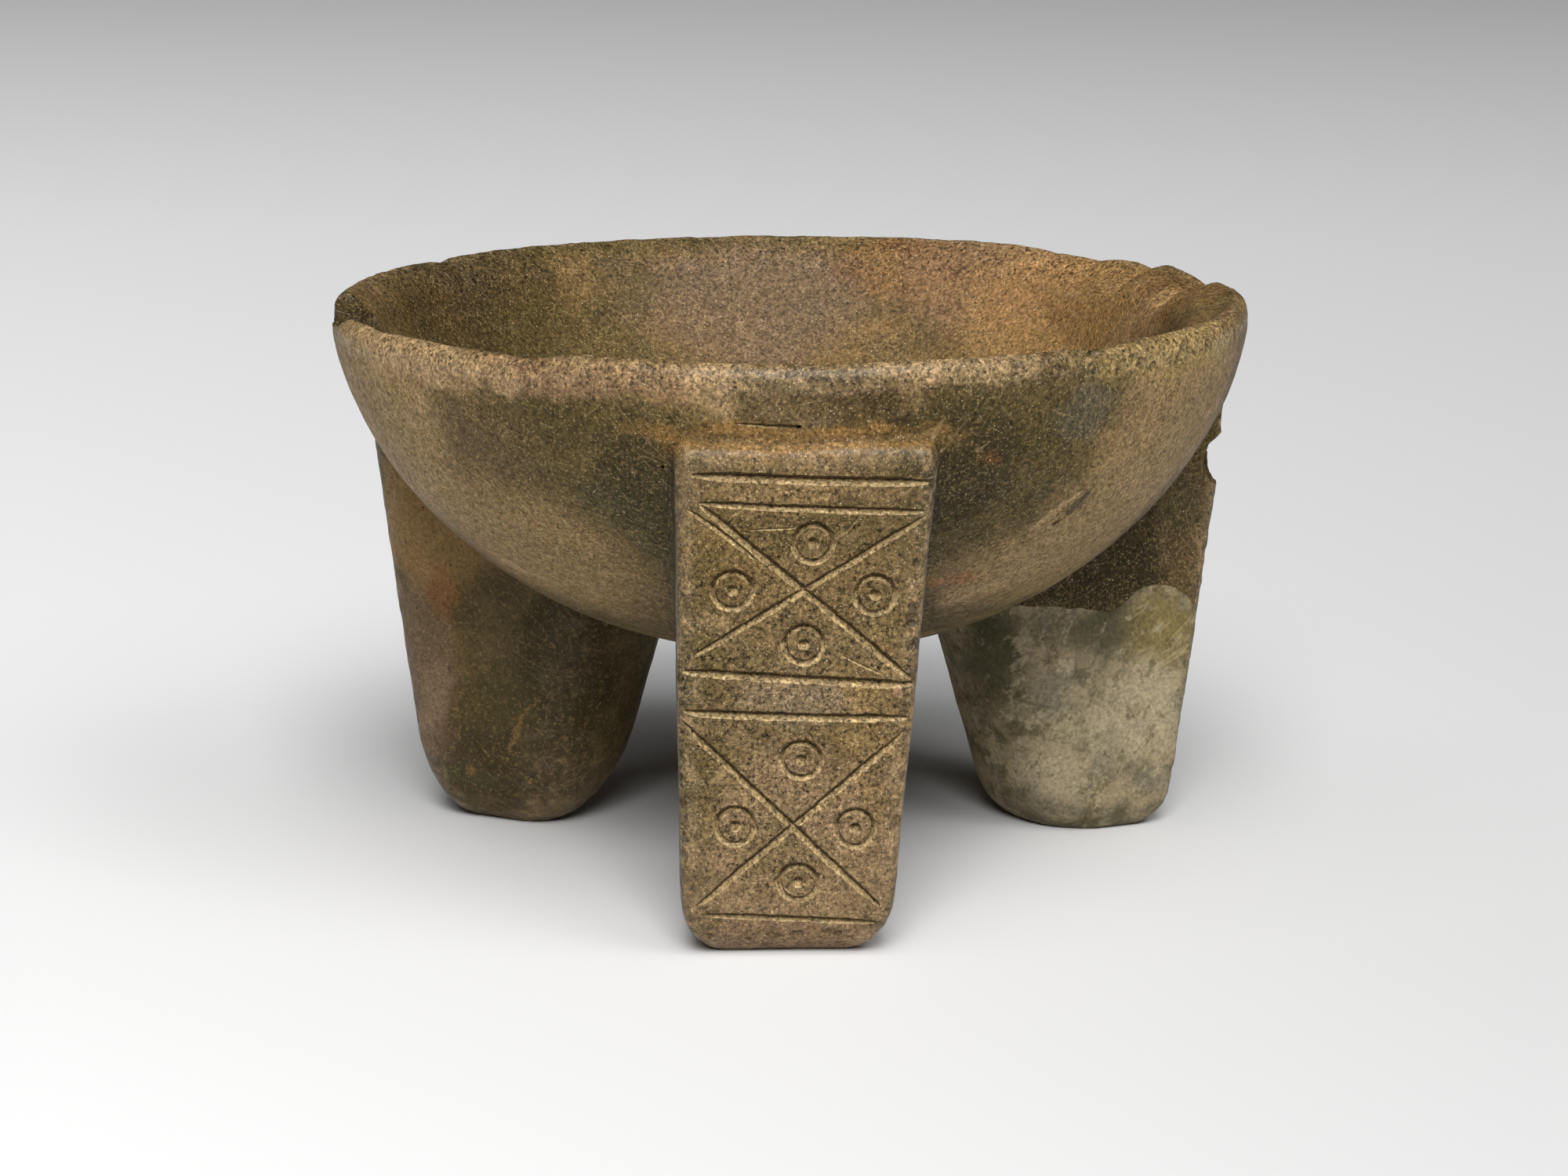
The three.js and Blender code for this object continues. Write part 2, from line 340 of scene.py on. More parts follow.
    @staticmethod
    def sweep(
        name: str,
        path: Sequence[Vector],
        section: Sequence[Flat],
        swell: Sequence[float],
        closed: bool = False,
    ) -> bpy.types.Object:
        """Draws a section along a path that lies about flat, with +Z out of the stone.

        Args:
            name: the solid's name.
            path: the points that the section's origin follows.
            section: closed outline, x across the path and y out of the stone.
            swell: how many times larger the section is at each point.
            closed: whether the path runs back to its start.

        Returns:
            The closed solid.
        """
        outline = bpy.data.curves.new(name + "_section", "CURVE")
        ring = outline.splines.new("POLY")
        ring.points.add(len(section) - 1)
        for point, (across, out) in zip(ring.points, section):
            point.co = (across, out, 0, 1)
        ring.use_cyclic_u = True
        former = bpy.data.objects.new(name + "_section", outline)
        bpy.context.scene.collection.objects.link(former)
        line = bpy.data.curves.new(name, "CURVE")
        line.dimensions = "3D"
        line.twist_mode = "Z_UP"
        line.bevel_mode = "OBJECT"
        line.bevel_object = former
        line.use_fill_caps = not closed
        spline = line.splines.new("POLY")
        spline.points.add(len(path) - 1)
        for point, place, size in zip(spline.points, path, swell):
            point.co = (*place, 1)
            point.radius = size
        spline.use_cyclic_u = closed
        piece = bpy.data.objects.new(name, line)
        bpy.context.scene.collection.objects.link(piece)
        Bench.hold(piece)
        bpy.ops.object.convert(target="MESH")
        Bench.discard(former)
        Bench.face_outwards(piece)
        return piece

    @staticmethod
    def roughen(piece: bpy.types.Object, lump: float, height: float, group: str = "") -> None:
        """Lifts and sinks a surface by a procedural roughness.

        Args:
            piece: the mesh to roughen.
            lump: size of one lump, in metres.
            height: from the lowest to the highest place, in metres.
            group: vertex group that limits it, if any.
        """
        texture = bpy.data.textures.new(piece.name + "_lumps", "CLOUDS")
        texture.noise_scale = lump
        Bench.apply(
            piece,
            "DISPLACE",
            texture=texture,
            texture_coords="LOCAL",
            strength=height,
            mid_level=0.5,
            vertex_group=group,
        )
        bpy.data.textures.remove(texture)


def superellipse(radius: float, top: float, depth: float, curve: Flat, steps: int) -> list[Flat]:
    """Rings on a quarter of a rounded outline, from its widest ring down towards the axis.

    Args:
        radius: the widest radius.
        top: height of the widest ring.
        depth: from there down to the lowest point.
        curve: flank and base; 2 and 2 give an ellipse.
        steps: the number of rings; the pole itself is left out.

    Returns:
        (radius, height) of each ring.
    """
    flank, base = curve
    rings = []
    for step in range(steps):
        angle = math.pi / 2 * step / steps
        out, down = math.cos(angle) ** (2 / flank), math.sin(angle) ** (2 / base)
        rings.append((radius * out, top - depth * down))
    return rings


@dataclass
class Basin:
    """The round bowl, without its legs.

    Args:
        rim_radius: the widest radius.
        height: floor to the crest of the lip.
        underside: floor to the bowl's lowest point.
        base_thickness: stone under the middle of the cavity.
        outer_round: how far the lip's outer rounding runs across, and down.
        inner_round: radius of the lip's inner rounding.
        inner_slopes: where that starts at the crest, and where it ends, in degrees down inwards.
        outer_curve: flank and base of the outer outline.
        cavity_curve: flank and base of the cavity's outline.
        clearance: how far a cutter stands clear of the stone.
        segments: the number of sides of each ring.
        steps: the number of rings on the flank.
        lip_steps: the number of rings on each of the lip's roundings.
    """

    rim_radius: float
    height: float
    underside: float = 36 * MM
    base_thickness: float = 14 * MM
    outer_round: Flat = (2.2 * MM, 2.8 * MM)
    inner_round: float = 12 * MM
    inner_slopes: Flat = (25, 60)
    outer_curve: Flat = (2.25, 1.62)
    cavity_curve: Flat = (2.2, 1.15)
    clearance: float = 6 * MM
    segments: int = 144
    steps: int = 26
    lip_steps: int = 5

    def outer_lip(self) -> list[Flat]:
        """Rounds the lip's outer side.

        Returns:
            Its rings, from the wall up to the crest.
        """
        run, drop = self.outer_round
        rings = []
        for step in range(1, self.lip_steps + 1):
            angle = math.pi / 2 * step / self.lip_steps
            radius = self.rim_radius - run * (1 - math.cos(angle))
            rings.append((radius, self.height - drop * (1 - math.sin(angle))))
        return rings

    def inner_lip(self) -> list[Flat]:
        """Rounds the lip's inner side.

        Returns:
            Its rings, from the crest down to the cavity's wall.
        """
        first, last = (math.radians(slope) for slope in self.inner_slopes)
        rings = []
        for step in range(self.lip_steps + 1):
            slope = first + (last - first) * step / self.lip_steps
            inwards = self.outer_round[0] + self.inner_round * (math.sin(slope) - math.sin(first))
            down = self.inner_round * (math.cos(first) - math.cos(slope))
            rings.append((self.rim_radius - inwards, self.height - down))
        return rings

    def outer_rings(self, margin: float = 0.0) -> list[Flat]:
        """Draws the outer flank.

        Args:
            margin: how far its outline is moved in.

        Returns:
            Its rings, from the lowest one up.
        """
        top = self.height - self.outer_round[1]
        depth = top - self.underside - margin
        radius = self.rim_radius - margin
        return superellipse(radius, top, depth, self.outer_curve, self.steps)[::-1]

    def solid(self) -> bpy.types.Object:
        """The bowl's outer form, filled to the crest of the lip."""
        rings = self.outer_rings() + self.outer_lip()
        return Bench.turn_solid("basin", rings, self.segments)

    def core(self, margin: float) -> bpy.types.Object:
        """Takes what lies deep under the outer surface, and all above it.

        Args:
            margin: how deep it starts.

        Returns:
            The closed solid.
        """
        rings = self.outer_rings(margin)
        rings.append((self.rim_radius - margin, self.height + self.clearance))
        return Bench.turn_solid("core", rings, self.segments)

    def cavity(self) -> bpy.types.Object:
        """Shapes the hollow, with the lip's inner rounding, and clear of the crest above it.

        Returns:
            The closed solid that is cut out.
        """
        lip = self.inner_lip()
        radius, top = lip[-1]
        depth = top - self.underside - self.base_thickness
        wall = superellipse(radius, top, depth, self.cavity_curve, self.steps)
        rings = wall[::-1] + lip[-2::-1]
        rings.append((rings[-1][0] + self.clearance, self.height + self.clearance))
        return Bench.turn_solid("cavity", rings, self.segments)


@dataclass
class Leg:
    """One slab leg, in its own frame: x outwards from the bowl's axis, y sideways.

    Args:
        name: the node that the leg stands for.
        azimuth: degrees from +X.
        top: height of its ledge.
        rim_radius: the bowl's widest radius, from which reach is measured inwards.
        reach: from that radius in to the outer face.
        depth: from the outer to the inner face.
        width: across the outer face.
        lean: how far its middle stands aside.
        outer_corner: radius of the two outer upright edges.
        inner_corner: radius of the two inner upright edges.
        sole: height of the rounding at the foot, and how far it pulls in.
        sole_shift: how far outwards the sole's middle lies from the leg's.
        ledge_bevel: how far the ledge's edges are rounded off.
        below_floor: how far the rough block runs under the floor, before its sole is ground flat.
        sole_steps: the number of rings on the sole's rounding.
        outer_segments: the number of flats on each outer upright edge.
        inner_segments: the same on each inner one.
        ledge_segments: the same on the ledge's edges.
        roundest: an inner edge's radius is at most this share of half the width.
    """

    name: str
    azimuth: float
    top: float
    rim_radius: float
    reach: Ends
    depth: Ends
    width: Ends
    lean: Ends
    outer_corner: float
    inner_corner: float
    sole: Flat
    sole_shift: float = 0.0
    ledge_bevel: float = 2.2 * MM
    below_floor: float = 0.5 * MM
    sole_steps: int = 6
    outer_segments: int = 6
    inner_segments: int = 12
    ledge_segments: int = 4
    roundest: float = 0.96

    def outer(self, height: float) -> float:
        """Distance from the bowl's axis to the outer face at a height."""
        return self.rim_radius - self.reach.at(height / self.top)

    def inner(self, height: float) -> float:
        """Distance from the bowl's axis to the inner face at a height."""
        return self.outer(height) - self.depth.at(height / self.top)

    def half(self, height: float) -> float:
        """Half the leg's width at a height."""
        return self.width.at(height / self.top) / 2

    def middle(self, height: float) -> float:
        """How far aside the leg's middle is at a height."""
        return self.lean.at(height / self.top)

    def block(self, name: str, low: float, grown: float = 0.0) -> bpy.types.Object:
        """Shapes a tapered block with rounded upright edges, from a height up to the ledge.

        Args:
            name: the block's name.
            low: height of its lower end.
            grown: how much larger than the leg it is, all round.

        Returns:
            The block, in the leg's own frame.
        """
        top = self.top + grown
        outer, inner = self.outer(self.top) + grown, self.inner(self.top) - grown
        half, middle = self.half(self.top) + grown, self.middle(self.top)
        centre = (outer + inner) / 2
        Bench.clear()
        bpy.ops.mesh.primitive_cube_add(size=1, location=(centre, middle, (top + low) / 2))
        piece = Bench.new(name)
        piece.scale = (outer - inner, 2 * half, top - low)
        Bench.settle(piece)
        tight = min(self.inner_corner, self.roundest * (self.half(low) + grown))
        shift = {
            1: self.outer(low) - self.outer(self.top),
            -1: self.inner(low) - self.inner(self.top),
        }
        narrower = self.half(low) - self.half(self.top)
        leaning = self.middle(low) - self.middle(self.top)
        with Bench.editing(piece, "EDGE"):
            self.round_uprights(piece, 1, centre, self.outer_corner + grown, self.outer_segments)
            self.round_uprights(piece, -1, centre, tight, self.inner_segments)
            for outwards in (1, -1):
                for sideways in (1, -1):
                    self.pick_corner(piece, (top + low) / 2, centre, middle, outwards, sideways)
                    aside = leaning + sideways * narrower
                    bpy.ops.transform.translate(value=(shift[outwards], aside, 0))
        return piece

    @staticmethod
    def round_uprights(
        piece: bpy.types.Object, side: int, centre: float, radius: float, segments: int
    ) -> None:
        """Rounds the upright edges on one side of a block that is open in edit mode.

        Args:
            piece: the block.
            side: 1 for its outer, -1 for its inner edges.
            centre: the x that parts the two sides.
            radius: the rounding's radius.
            segments: its number of flats.
        """
        bpy.ops.mesh.select_all(action="DESELECT")
        mesh = bmesh.from_edit_mesh(piece.data)
        for edge in mesh.edges:
            one, two = (v.co for v in edge.verts)
            upright = abs(one.z - two.z) > abs(one.x - two.x) + abs(one.y - two.y)
            if upright and (one.x - centre) * side > 0:
                edge.select_set(True)
        bmesh.update_edit_mesh(piece.data)
        bpy.ops.mesh.bevel(
            offset=radius, segments=segments, affect="EDGES", clamp_overlap=False
        )

    @staticmethod
    def pick_corner(
        piece: bpy.types.Object,
        height: float,
        centre: float,
        middle: float,
        outwards: int,
        sideways: int,
    ) -> None:
        """Selects one rounded corner at the lower end of a block.

        Args:
            piece: the block, open in edit mode.
            height: what lies below it counts as the lower end.
            centre: the x that parts outer from inner corners.
            middle: the y that parts the two sides.
            outwards: 1 for an outer, -1 for an inner corner.
            sideways: 1 or -1, the side.
        """
        Bench.pick(
            piece,
            lambda v: v.z < height
            and (v.x - centre) * outwards > 0
            and (v.y - middle) * sideways > 0,
        )

    def solid(self) -> bpy.types.Object:
        """Shapes the leg, with its rounded sole and softened ledge.

        Returns:
            The closed solid, in its place under the bowl.
        """
        sole_height, sole_inset = self.sole
        piece = self.block(self.name + "_solid", sole_height)
        last, inset = sole_height, 0.0
        with Bench.editing(piece, "FACE"):
            Bench.pick(piece, lambda v: abs(v.z - sole_height) < LEVEL)
            for step in range(1, self.sole_steps + 1):
                angle = math.pi / 2 * step / self.sole_steps
                height = (sole_height + self.below_floor) * (1 - math.sin(angle))
                height -= self.below_floor
                middle, radial, half = self.sole_ring(last, inset)
                inset = sole_inset * (1 - math.cos(angle))
                next_middle, next_radial, next_half = self.sole_ring(height, inset)
                move = next_middle - middle
                bpy.ops.mesh.extrude_region_move(TRANSFORM_OT_translate={"value": move})
                wider = (next_radial / radial, next_half / half, 1)
                bpy.ops.transform.resize(value=wider, center_override=next_middle)
                last = height
        with Bench.editing(piece, "EDGE"):
            Bench.pick(piece, lambda v: v.z > self.top - LEVEL)
            bpy.ops.mesh.region_to_loop()
            bpy.ops.mesh.bevel(
                offset=self.ledge_bevel, segments=self.ledge_segments, affect="EDGES"
            )
        return self.place(piece)

    def sole_ring(self, height: float, inset: float) -> tuple[Vector, float, float]:
        """Measures one ring of the sole's rounding.

        Args:
            height: of the ring over the floor.
            inset: how far it is pulled in from the leg's own taper.

        Returns:
            Its middle, and half its depth and width.
        """
        radial = (self.outer(height) - self.inner(height)) / 2
        shift = self.sole_shift * inset / self.sole[1]
        middle = Vector((self.inner(height) + radial + shift, self.middle(height), height))
        return middle, radial - inset, self.half(height) - inset

    def zone(self, margin: float) -> bpy.types.Object:
        """Takes the space that counts as this leg's when the worn block is parted.

        Args:
            margin: how far it reaches past the leg, to take in the soft fillets.

        Returns:
            The zone's solid, in place under the bowl.
        """
        return self.place(self.block(self.name + "_zone", -2 * margin, margin))

    def place(self, piece: bpy.types.Object) -> bpy.types.Object:
        """Turns a solid from the leg's own frame to its place under the bowl.

        Args:
            piece: the solid, in the leg's own frame.

        Returns:
            The same solid, in its place.
        """
        piece.rotation_euler.z = math.radians(self.azimuth)
        Bench.settle(piece)
        Bench.face_outwards(piece)
        return piece

    def face(self) -> Matrix:
        """Finds the outer face's own frame.

        Returns:
            The frame: x aside, y up the face, z out of the stone.
        """
        sideways = Vector((0, 1, 0))
        upwards = Vector((self.outer(self.top) - self.outer(0), 0, self.top)).normalized()
        outwards = sideways.cross(upwards)
        turned = Matrix((sideways, upwards, outwards)).transposed().to_4x4()
        turned.translation = (self.outer(0), 0, 0)
        return Matrix.Rotation(math.radians(self.azimuth), 4, "Z") @ turned

    def up_face(self, height: float) -> float:
        """How far up the outer face a height lies."""
        rise = self.outer(self.top) - self.outer(0)
        return height * math.hypot(rise, self.top) / self.top


class Cutter:
    """A tool that follows the stone's own surface. Its strokes are gathered, then cut at once."""

    ABOVE = 20 * MM  # how far over the face the surface is looked for

    def __init__(self, stone: bpy.types.Object, face: Matrix, finish: bpy.types.Material) -> None:
        """Takes the tool to a face.

        Args:
            stone: the piece that is carved.
            face: frame of the face: x and y along it, z out of the stone.
            finish: what the cut surface looks like.
        """
        self.stone = stone
        self.face = face
        self.back = face.inverted()
        self.finish = finish
        self.strokes: Optional[bpy.types.Object] = None

    def on_surface(self, aside: float, up: float) -> Vector:
        """Finds the stone's surface under a place on the face.

        Args:
            aside: along the face's x.
            up: along the face's y.

        Returns:
            The place on the surface, in the face's frame.
        """
        above = self.face @ Vector((aside, up, self.ABOVE))
        inwards = (self.face.to_3x3() @ Vector((0, 0, -1))).normalized()
        found, place, _, _ = self.stone.ray_cast(above, inwards)
        return self.back @ place if found else Vector((aside, up, 0))

    def stroke(self, tool: bpy.types.Object) -> None:
        """Adds a stroke.

        Args:
            tool: its solid, drawn in the face's frame.
        """
        tool.matrix_world = self.face
        Bench.settle(tool)
        if self.strokes:
            Bench.combine(self.strokes, tool, Join.ADD)
        else:
            self.strokes = tool

    def cut(self) -> None:
        """Cuts all gathered strokes into the stone."""
        self.strokes.data.materials.clear()
        self.strokes.data.materials.append(self.finish)
        Bench.combine(self.stone, self.strokes, Join.CUT)


@dataclass(frozen=True)
class SawCut:
    """A V-shaped groove, sawn with a string and grit, shallow at its ends.

    Args:
        start: aside and height on the face.
        end: the same, where it ends.
        width: across the groove.
        depth: at its middle.
        sag: how far its middle lies below the straight line.
        run_out: length over which each end fades away.
        seed: of its small irregularities.
        step: from one point of its path to the next.
        waver: how far it strays from its line at each step, in millimetres.
        shallow: its size at the very ends, as a share.
        uneven: how far its size varies, as a share.
        flank: its outline from the shoulder down, as shares of half the width and of the depth.
    """

    start: Flat
    end: Flat
    width: float
    depth: float
    sag: float
    run_out: float = 5 * MM
    seed: int = 1
    step: float = 0.7 * MM
    waver: float = 0.03
    shallow: float = 0.35
    uneven: float = 0.1
    flank: tuple[Flat, ...] = ((0.72, -0.2), (0.28, -0.8))

    def section(self) -> list[Flat]:
        """Draws the groove across, with soft shoulders.

        Returns:
            Its outline, open to above the surface.
        """
        half, shoulder = self.width / 2, (1.1 * self.width / 2, 0.04 * MM)
        right = [shoulder, *((across * half, down * self.depth) for across, down in self.flank)]
        left = [(-x, y) for x, y in reversed(right)]
        edge = shoulder[0]
        return [(edge, CLEAR), *right, (0, -self.depth), *left, (-edge, CLEAR)]

    def carve(self, cutter: Cutter, up_face: Callable[[float], float]) -> None:
        """Saws the groove into the stone.

        Args:
            cutter: the tool, on the face that is cut.
            up_face: turns a height into a distance up the face.
        """
        rng = random.Random(self.seed)
        start = Vector((self.start[0], up_face(self.start[1])))
        end = Vector((self.end[0], up_face(self.end[1])))
        length = (end - start).length
        aside = Vector((-(end - start).y, (end - start).x)).normalized()
        steps = max(6, round(length / self.step))
        path, swell = [], []
        drift = 0.0
        for step in range(steps + 1):
            share = step / steps
            drift = 0.8 * drift + rng.uniform(-self.waver, self.waver) * MM
            low = self.sag * 4 * share * (1 - share)
            flat = start.lerp(end, share) + aside * drift - Vector((0, low))
            near_end = min(share, 1 - share) * length / self.run_out
            size = min(1.0, self.shallow + (1 - self.shallow) * math.sqrt(max(near_end, 0.0)))
            path.append(cutter.on_surface(flat.x, flat.y))
            swell.append(size * rng.uniform(1 - self.uneven, 1 + self.uneven))
        cutter.stroke(Bench.sweep("groove", path, self.section(), swell))


@dataclass(frozen=True)
class DrillRing:
    """A ring cut by a hollow drill, with a dimple at its middle.

    Args:
        place: aside and height of its middle.
        radius: from the middle to the ring's deepest line.
        depth: of the ring.
        dimple: radius and depth of the dimple.
        seed: of its small irregularities.
        steps: the number of points on the ring.
        oval: how far it is out of round, as a share of its radius.
        shake: how far its points stray, as the same share.
        uneven: how far its size varies, as a share.
    """

    place: Flat
    radius: float = 2.62 * MM
    depth: float = 0.9 * MM
    dimple: Flat = (0.95 * MM, 1.0 * MM)
    seed: int = 1
    steps: int = 44
    oval: float = 0.018
    shake: float = 0.008
    uneven: float = 0.07

    def section(self) -> list[Flat]:
        """Draws the ring's groove across.

        Returns:
            Its outline: steep towards the island, sloping outside.
        """
        return [
            (-0.28 * MM, CLEAR),
            (-0.28 * MM, 0.02 * MM),
            (-0.14 * MM, -0.7 * self.depth),
            (0.02 * MM, -self.depth),
            (0.3 * MM, -0.72 * self.depth),
            (0.6 * MM, -0.2 * self.depth),
            (0.88 * MM, 0.04 * MM),
            (0.88 * MM, CLEAR),
        ]

    def carve(self, cutter: Cutter, up_face: Callable[[float], float]) -> None:
        """Drills the ring and its dimple into the stone.

        Args:
            cutter: the tool, on the face that is cut.
            up_face: turns a height into a distance up the face.
        """
        rng = random.Random(self.seed)
        aside, up = self.place[0], up_face(self.place[1])
        path = []
        phase = rng.uniform(0, math.tau)
        for step in range(self.steps):
            angle = math.tau * step / self.steps
            wave = self.oval * math.sin(2 * angle + phase)
            radius = self.radius * (1 + wave + rng.uniform(-self.shake, self.shake))
            across, along = radius * math.cos(angle), radius * math.sin(angle)
            path.append(cutter.on_surface(aside + across, up + along))
        swell = [rng.uniform(1 - self.uneven, 1 + self.uneven) for _ in path]
        cutter.stroke(Bench.sweep("ring", path, self.section(), swell, closed=True))
        self.drill_dimple(cutter, cutter.on_surface(aside, up))

    def drill_dimple(self, cutter: Cutter, middle: Vector) -> None:
        """Drills the dimple with a cone that stands half out of the stone.

        Args:
            cutter: the tool, on the face that is cut.
            middle: where, on the stone's surface.
        """
        wide, deep = self.dimple
        tall = 1.55 * deep
        Bench.clear()
        bpy.ops.mesh.primitive_cone_add(
            vertices=20, radius1=0.12 * wide, radius2=1.5 * wide, depth=tall, location=(0, 0, 0)
        )
        dimple = Bench.new("dimple")
        dimple.location = middle + Vector((0, 0, tall / 2 - deep))
        Bench.settle(dimple)
        cutter.stroke(dimple)


@dataclass(frozen=True)
class Bite:
    """A flake or pit lost from the stone.

    Args:
        place: its middle, in millimetres in the object's frame.
        size: half its length, width and height, in millimetres.
        turn: its turn about X, Y and Z, in degrees.
        ragged: how uneven its bed is, in millimetres.
        seed: which of many uneven shapes.
        detail: how finely its bed is modelled.
    """

    place: Place
    size: Place
    turn: Place = (0, 0, 0)
    ragged: float = 0.3
    seed: int = 0
    detail: int = 4

    def tool(self) -> bpy.types.Object:
        """Shapes the lost flake.

        Returns:
            A lumpy solid, in its place.
        """
        apart = 0.1  # metres from one seed's place in the roughness to the next
        lump = max(2.5 * self.ragged, 0.5) * MM
        Bench.clear()
        bpy.ops.mesh.primitive_ico_sphere_add(subdivisions=self.detail, radius=1)
        tool = Bench.new("bite")
        tool.scale = [length * MM for length in self.size]
        tool.location = (0, 0, self.seed * apart)
        Bench.settle(tool)
        Bench.roughen(tool, lump, 2 * self.ragged * MM)
        tool.location = (0, 0, -self.seed * apart)
        Bench.settle(tool)
        tool.rotation_euler = [math.radians(angle) for angle in self.turn]
        tool.location = [length * MM for length in self.place]
        Bench.settle(tool)
        return tool

    @staticmethod
    def lose(
        stone: bpy.types.Object, bites: Sequence["Bite"], finish: bpy.types.Material
    ) -> None:
        """Breaks several flakes out of the stone.

        Args:
            stone: the piece that loses them.
            bites: the flakes.
            finish: what their beds look like.
        """
        tools = bites[0].tool()
        for bite in bites[1:]:
            Bench.combine(tools, bite.tool(), Join.ADD)
        tools.data.materials.clear()
        tools.data.materials.append(finish)
        Bench.combine(stone, tools, Join.CUT)


@dataclass(frozen=True)
class Crumbs:
    """Small losses scattered along an edge.

    Args:
        path: points near the edge, in millimetres in the object's frame.
        count: how many are lost.
        size: the smallest and the largest radius, in millimetres.
        spread: how far they stray from the path, in millimetres.
        seed: which of many scatters.
        ragged: how uneven their beds are, as a share of their radius.
        detail: how finely their beds are modelled.
        out: how far their middles stand out of the surface, as the same share.
        shape: least and greatest length, width and height, as the same share.
    """

    path: tuple[Place, ...]
    count: int
    size: Flat
    spread: float
    seed: int
    ragged: float = 0.35
    detail: int = 3
    out: Flat = (0.1, 0.35)
    shape: tuple[Flat, Flat, Flat] = ((0.8, 1.5), (0.7, 1.1), (0.5, 0.8))

    def bites(self, stone: bpy.types.Object) -> list[Bite]:
        """Places the losses on the stone's surface.

        Args:
            stone: the piece that loses them.

        Returns:
            The losses.
        """
        rng = random.Random(self.seed)
        points = [Vector(point) for point in self.path]
        bites = []
        for number in range(self.count):
            leg = rng.randrange(len(points) - 1)
            near = points[leg].lerp(points[leg + 1], rng.random())
            near += Vector([rng.uniform(-self.spread, self.spread) for _ in range(3)])
            _, place, normal, _ = stone.closest_point_on_mesh(near * MM)
            wide = rng.uniform(*self.size)
            outwards = normal.to_track_quat("Z", "Y").to_euler()
            turn = tuple(math.degrees(angle) for angle in outwards)
            place = place / MM + normal * wide * rng.uniform(*self.out)
            size = tuple(wide * rng.uniform(*limits) for limits in self.shape)
            seed = self.seed + number
            bites.append(Bite(tuple(place), size, turn, self.ragged * wide, seed, self.detail))
        return bites


@dataclass(frozen=True)
class Dip:
    """A worn place on the lip.

    Args:
        azimuth: degrees from +X.
        sink: how far the crest is lower there.
        reach: how far around it the lip sinks along.
        fade: soft, or creased as between two worn lobes.
        half_width: how far to either side the lip sinks all the way.
    """

    azimuth: float
    sink: float
    reach: float
    fade: Falloff = Falloff.SOFT
    half_width: float = 0.5 * MM

    def wear(self, stone: bpy.types.Object, basin: Basin) -> None:
        """Wears the lip down.

        Args:
            stone: the block, open in edit mode.
            basin: the bowl's sizes.
        """
        angle = math.radians(self.azimuth)
        along = Vector((math.cos(angle), math.sin(angle), 0))
        beside = Vector((-math.sin(angle), math.cos(angle), 0))
        low = basin.height - basin.outer_round[1] - MM
        Bench.nudge(
            stone,
            lambda v: v.z > low and v.dot(along) > 0 and abs(v.dot(beside)) < self.half_width,
            (0, 0, -self.sink),
            self.reach,
            self.fade,
        )


@dataclass
class Break:
    """The break across the right leg, where a restored foot begins.

    Args:
        leg: the leg that is broken.
        height: its mean height.
        line: points from the outer face inwards, then up from the mean height, in millimetres.
        half_width: how far the cut reaches to either side.
        ragged: how uneven the break is.
        lump: the size of its unevenness.
    """

    leg: Leg
    height: float = 40.5 * MM
    line: tuple[Flat, ...] = (
        (-8, -5), (0, -4.5), (1.5, -2.4), (4, 0.6), (7, 2.3), (10, 2.9), (13, 2.2), (15.5, -0.2),
        (18, -1.4), (22, -0.5), (29, 0.6), (75, 0.2),
    )
    half_width: float = 30 * MM
    ragged: float = 0.35 * MM
    lump: float = 2 * MM

    def below(self) -> bpy.types.Object:
        """Takes everything under the break.

        Returns:
            A solid with an uneven top, in its place.
        """
        outer = self.leg.outer(self.height)
        deep = -self.height / 4
        points = [(outer - inwards * MM, self.height + up * MM) for inwards, up in self.line]
        points += [(points[-1][0], deep), (points[0][0], deep)]
        outline = bpy.data.curves.new("break_outline", "CURVE")
        outline.dimensions = "2D"
        outline.fill_mode = "BOTH"
        outline.extrude = self.half_width
        spline = outline.splines.new("POLY")
        spline.points.add(len(points) - 1)
        for point, (out, up) in zip(spline.points, points):
            point.co = (out, up, 0, 1)
        spline.use_cyclic_u = True
        piece = bpy.data.objects.new("below_break", outline)
        bpy.context.scene.collection.objects.link(piece)
        Bench.hold(piece)
        bpy.ops.object.convert(target="MESH")
        piece.rotation_euler = (math.radians(90), 0, 0)
        Bench.settle(piece)
        Bench.face_outwards(piece)
        Bench.apply(piece, "REMESH", mode="VOXEL", voxel_size=GRAIN)
        Bench.apply(piece, "SMOOTH", factor=0.5, iterations=4)
        Bench.roughen(piece, self.lump, 2 * self.ragged)
        return self.leg.place(piece)


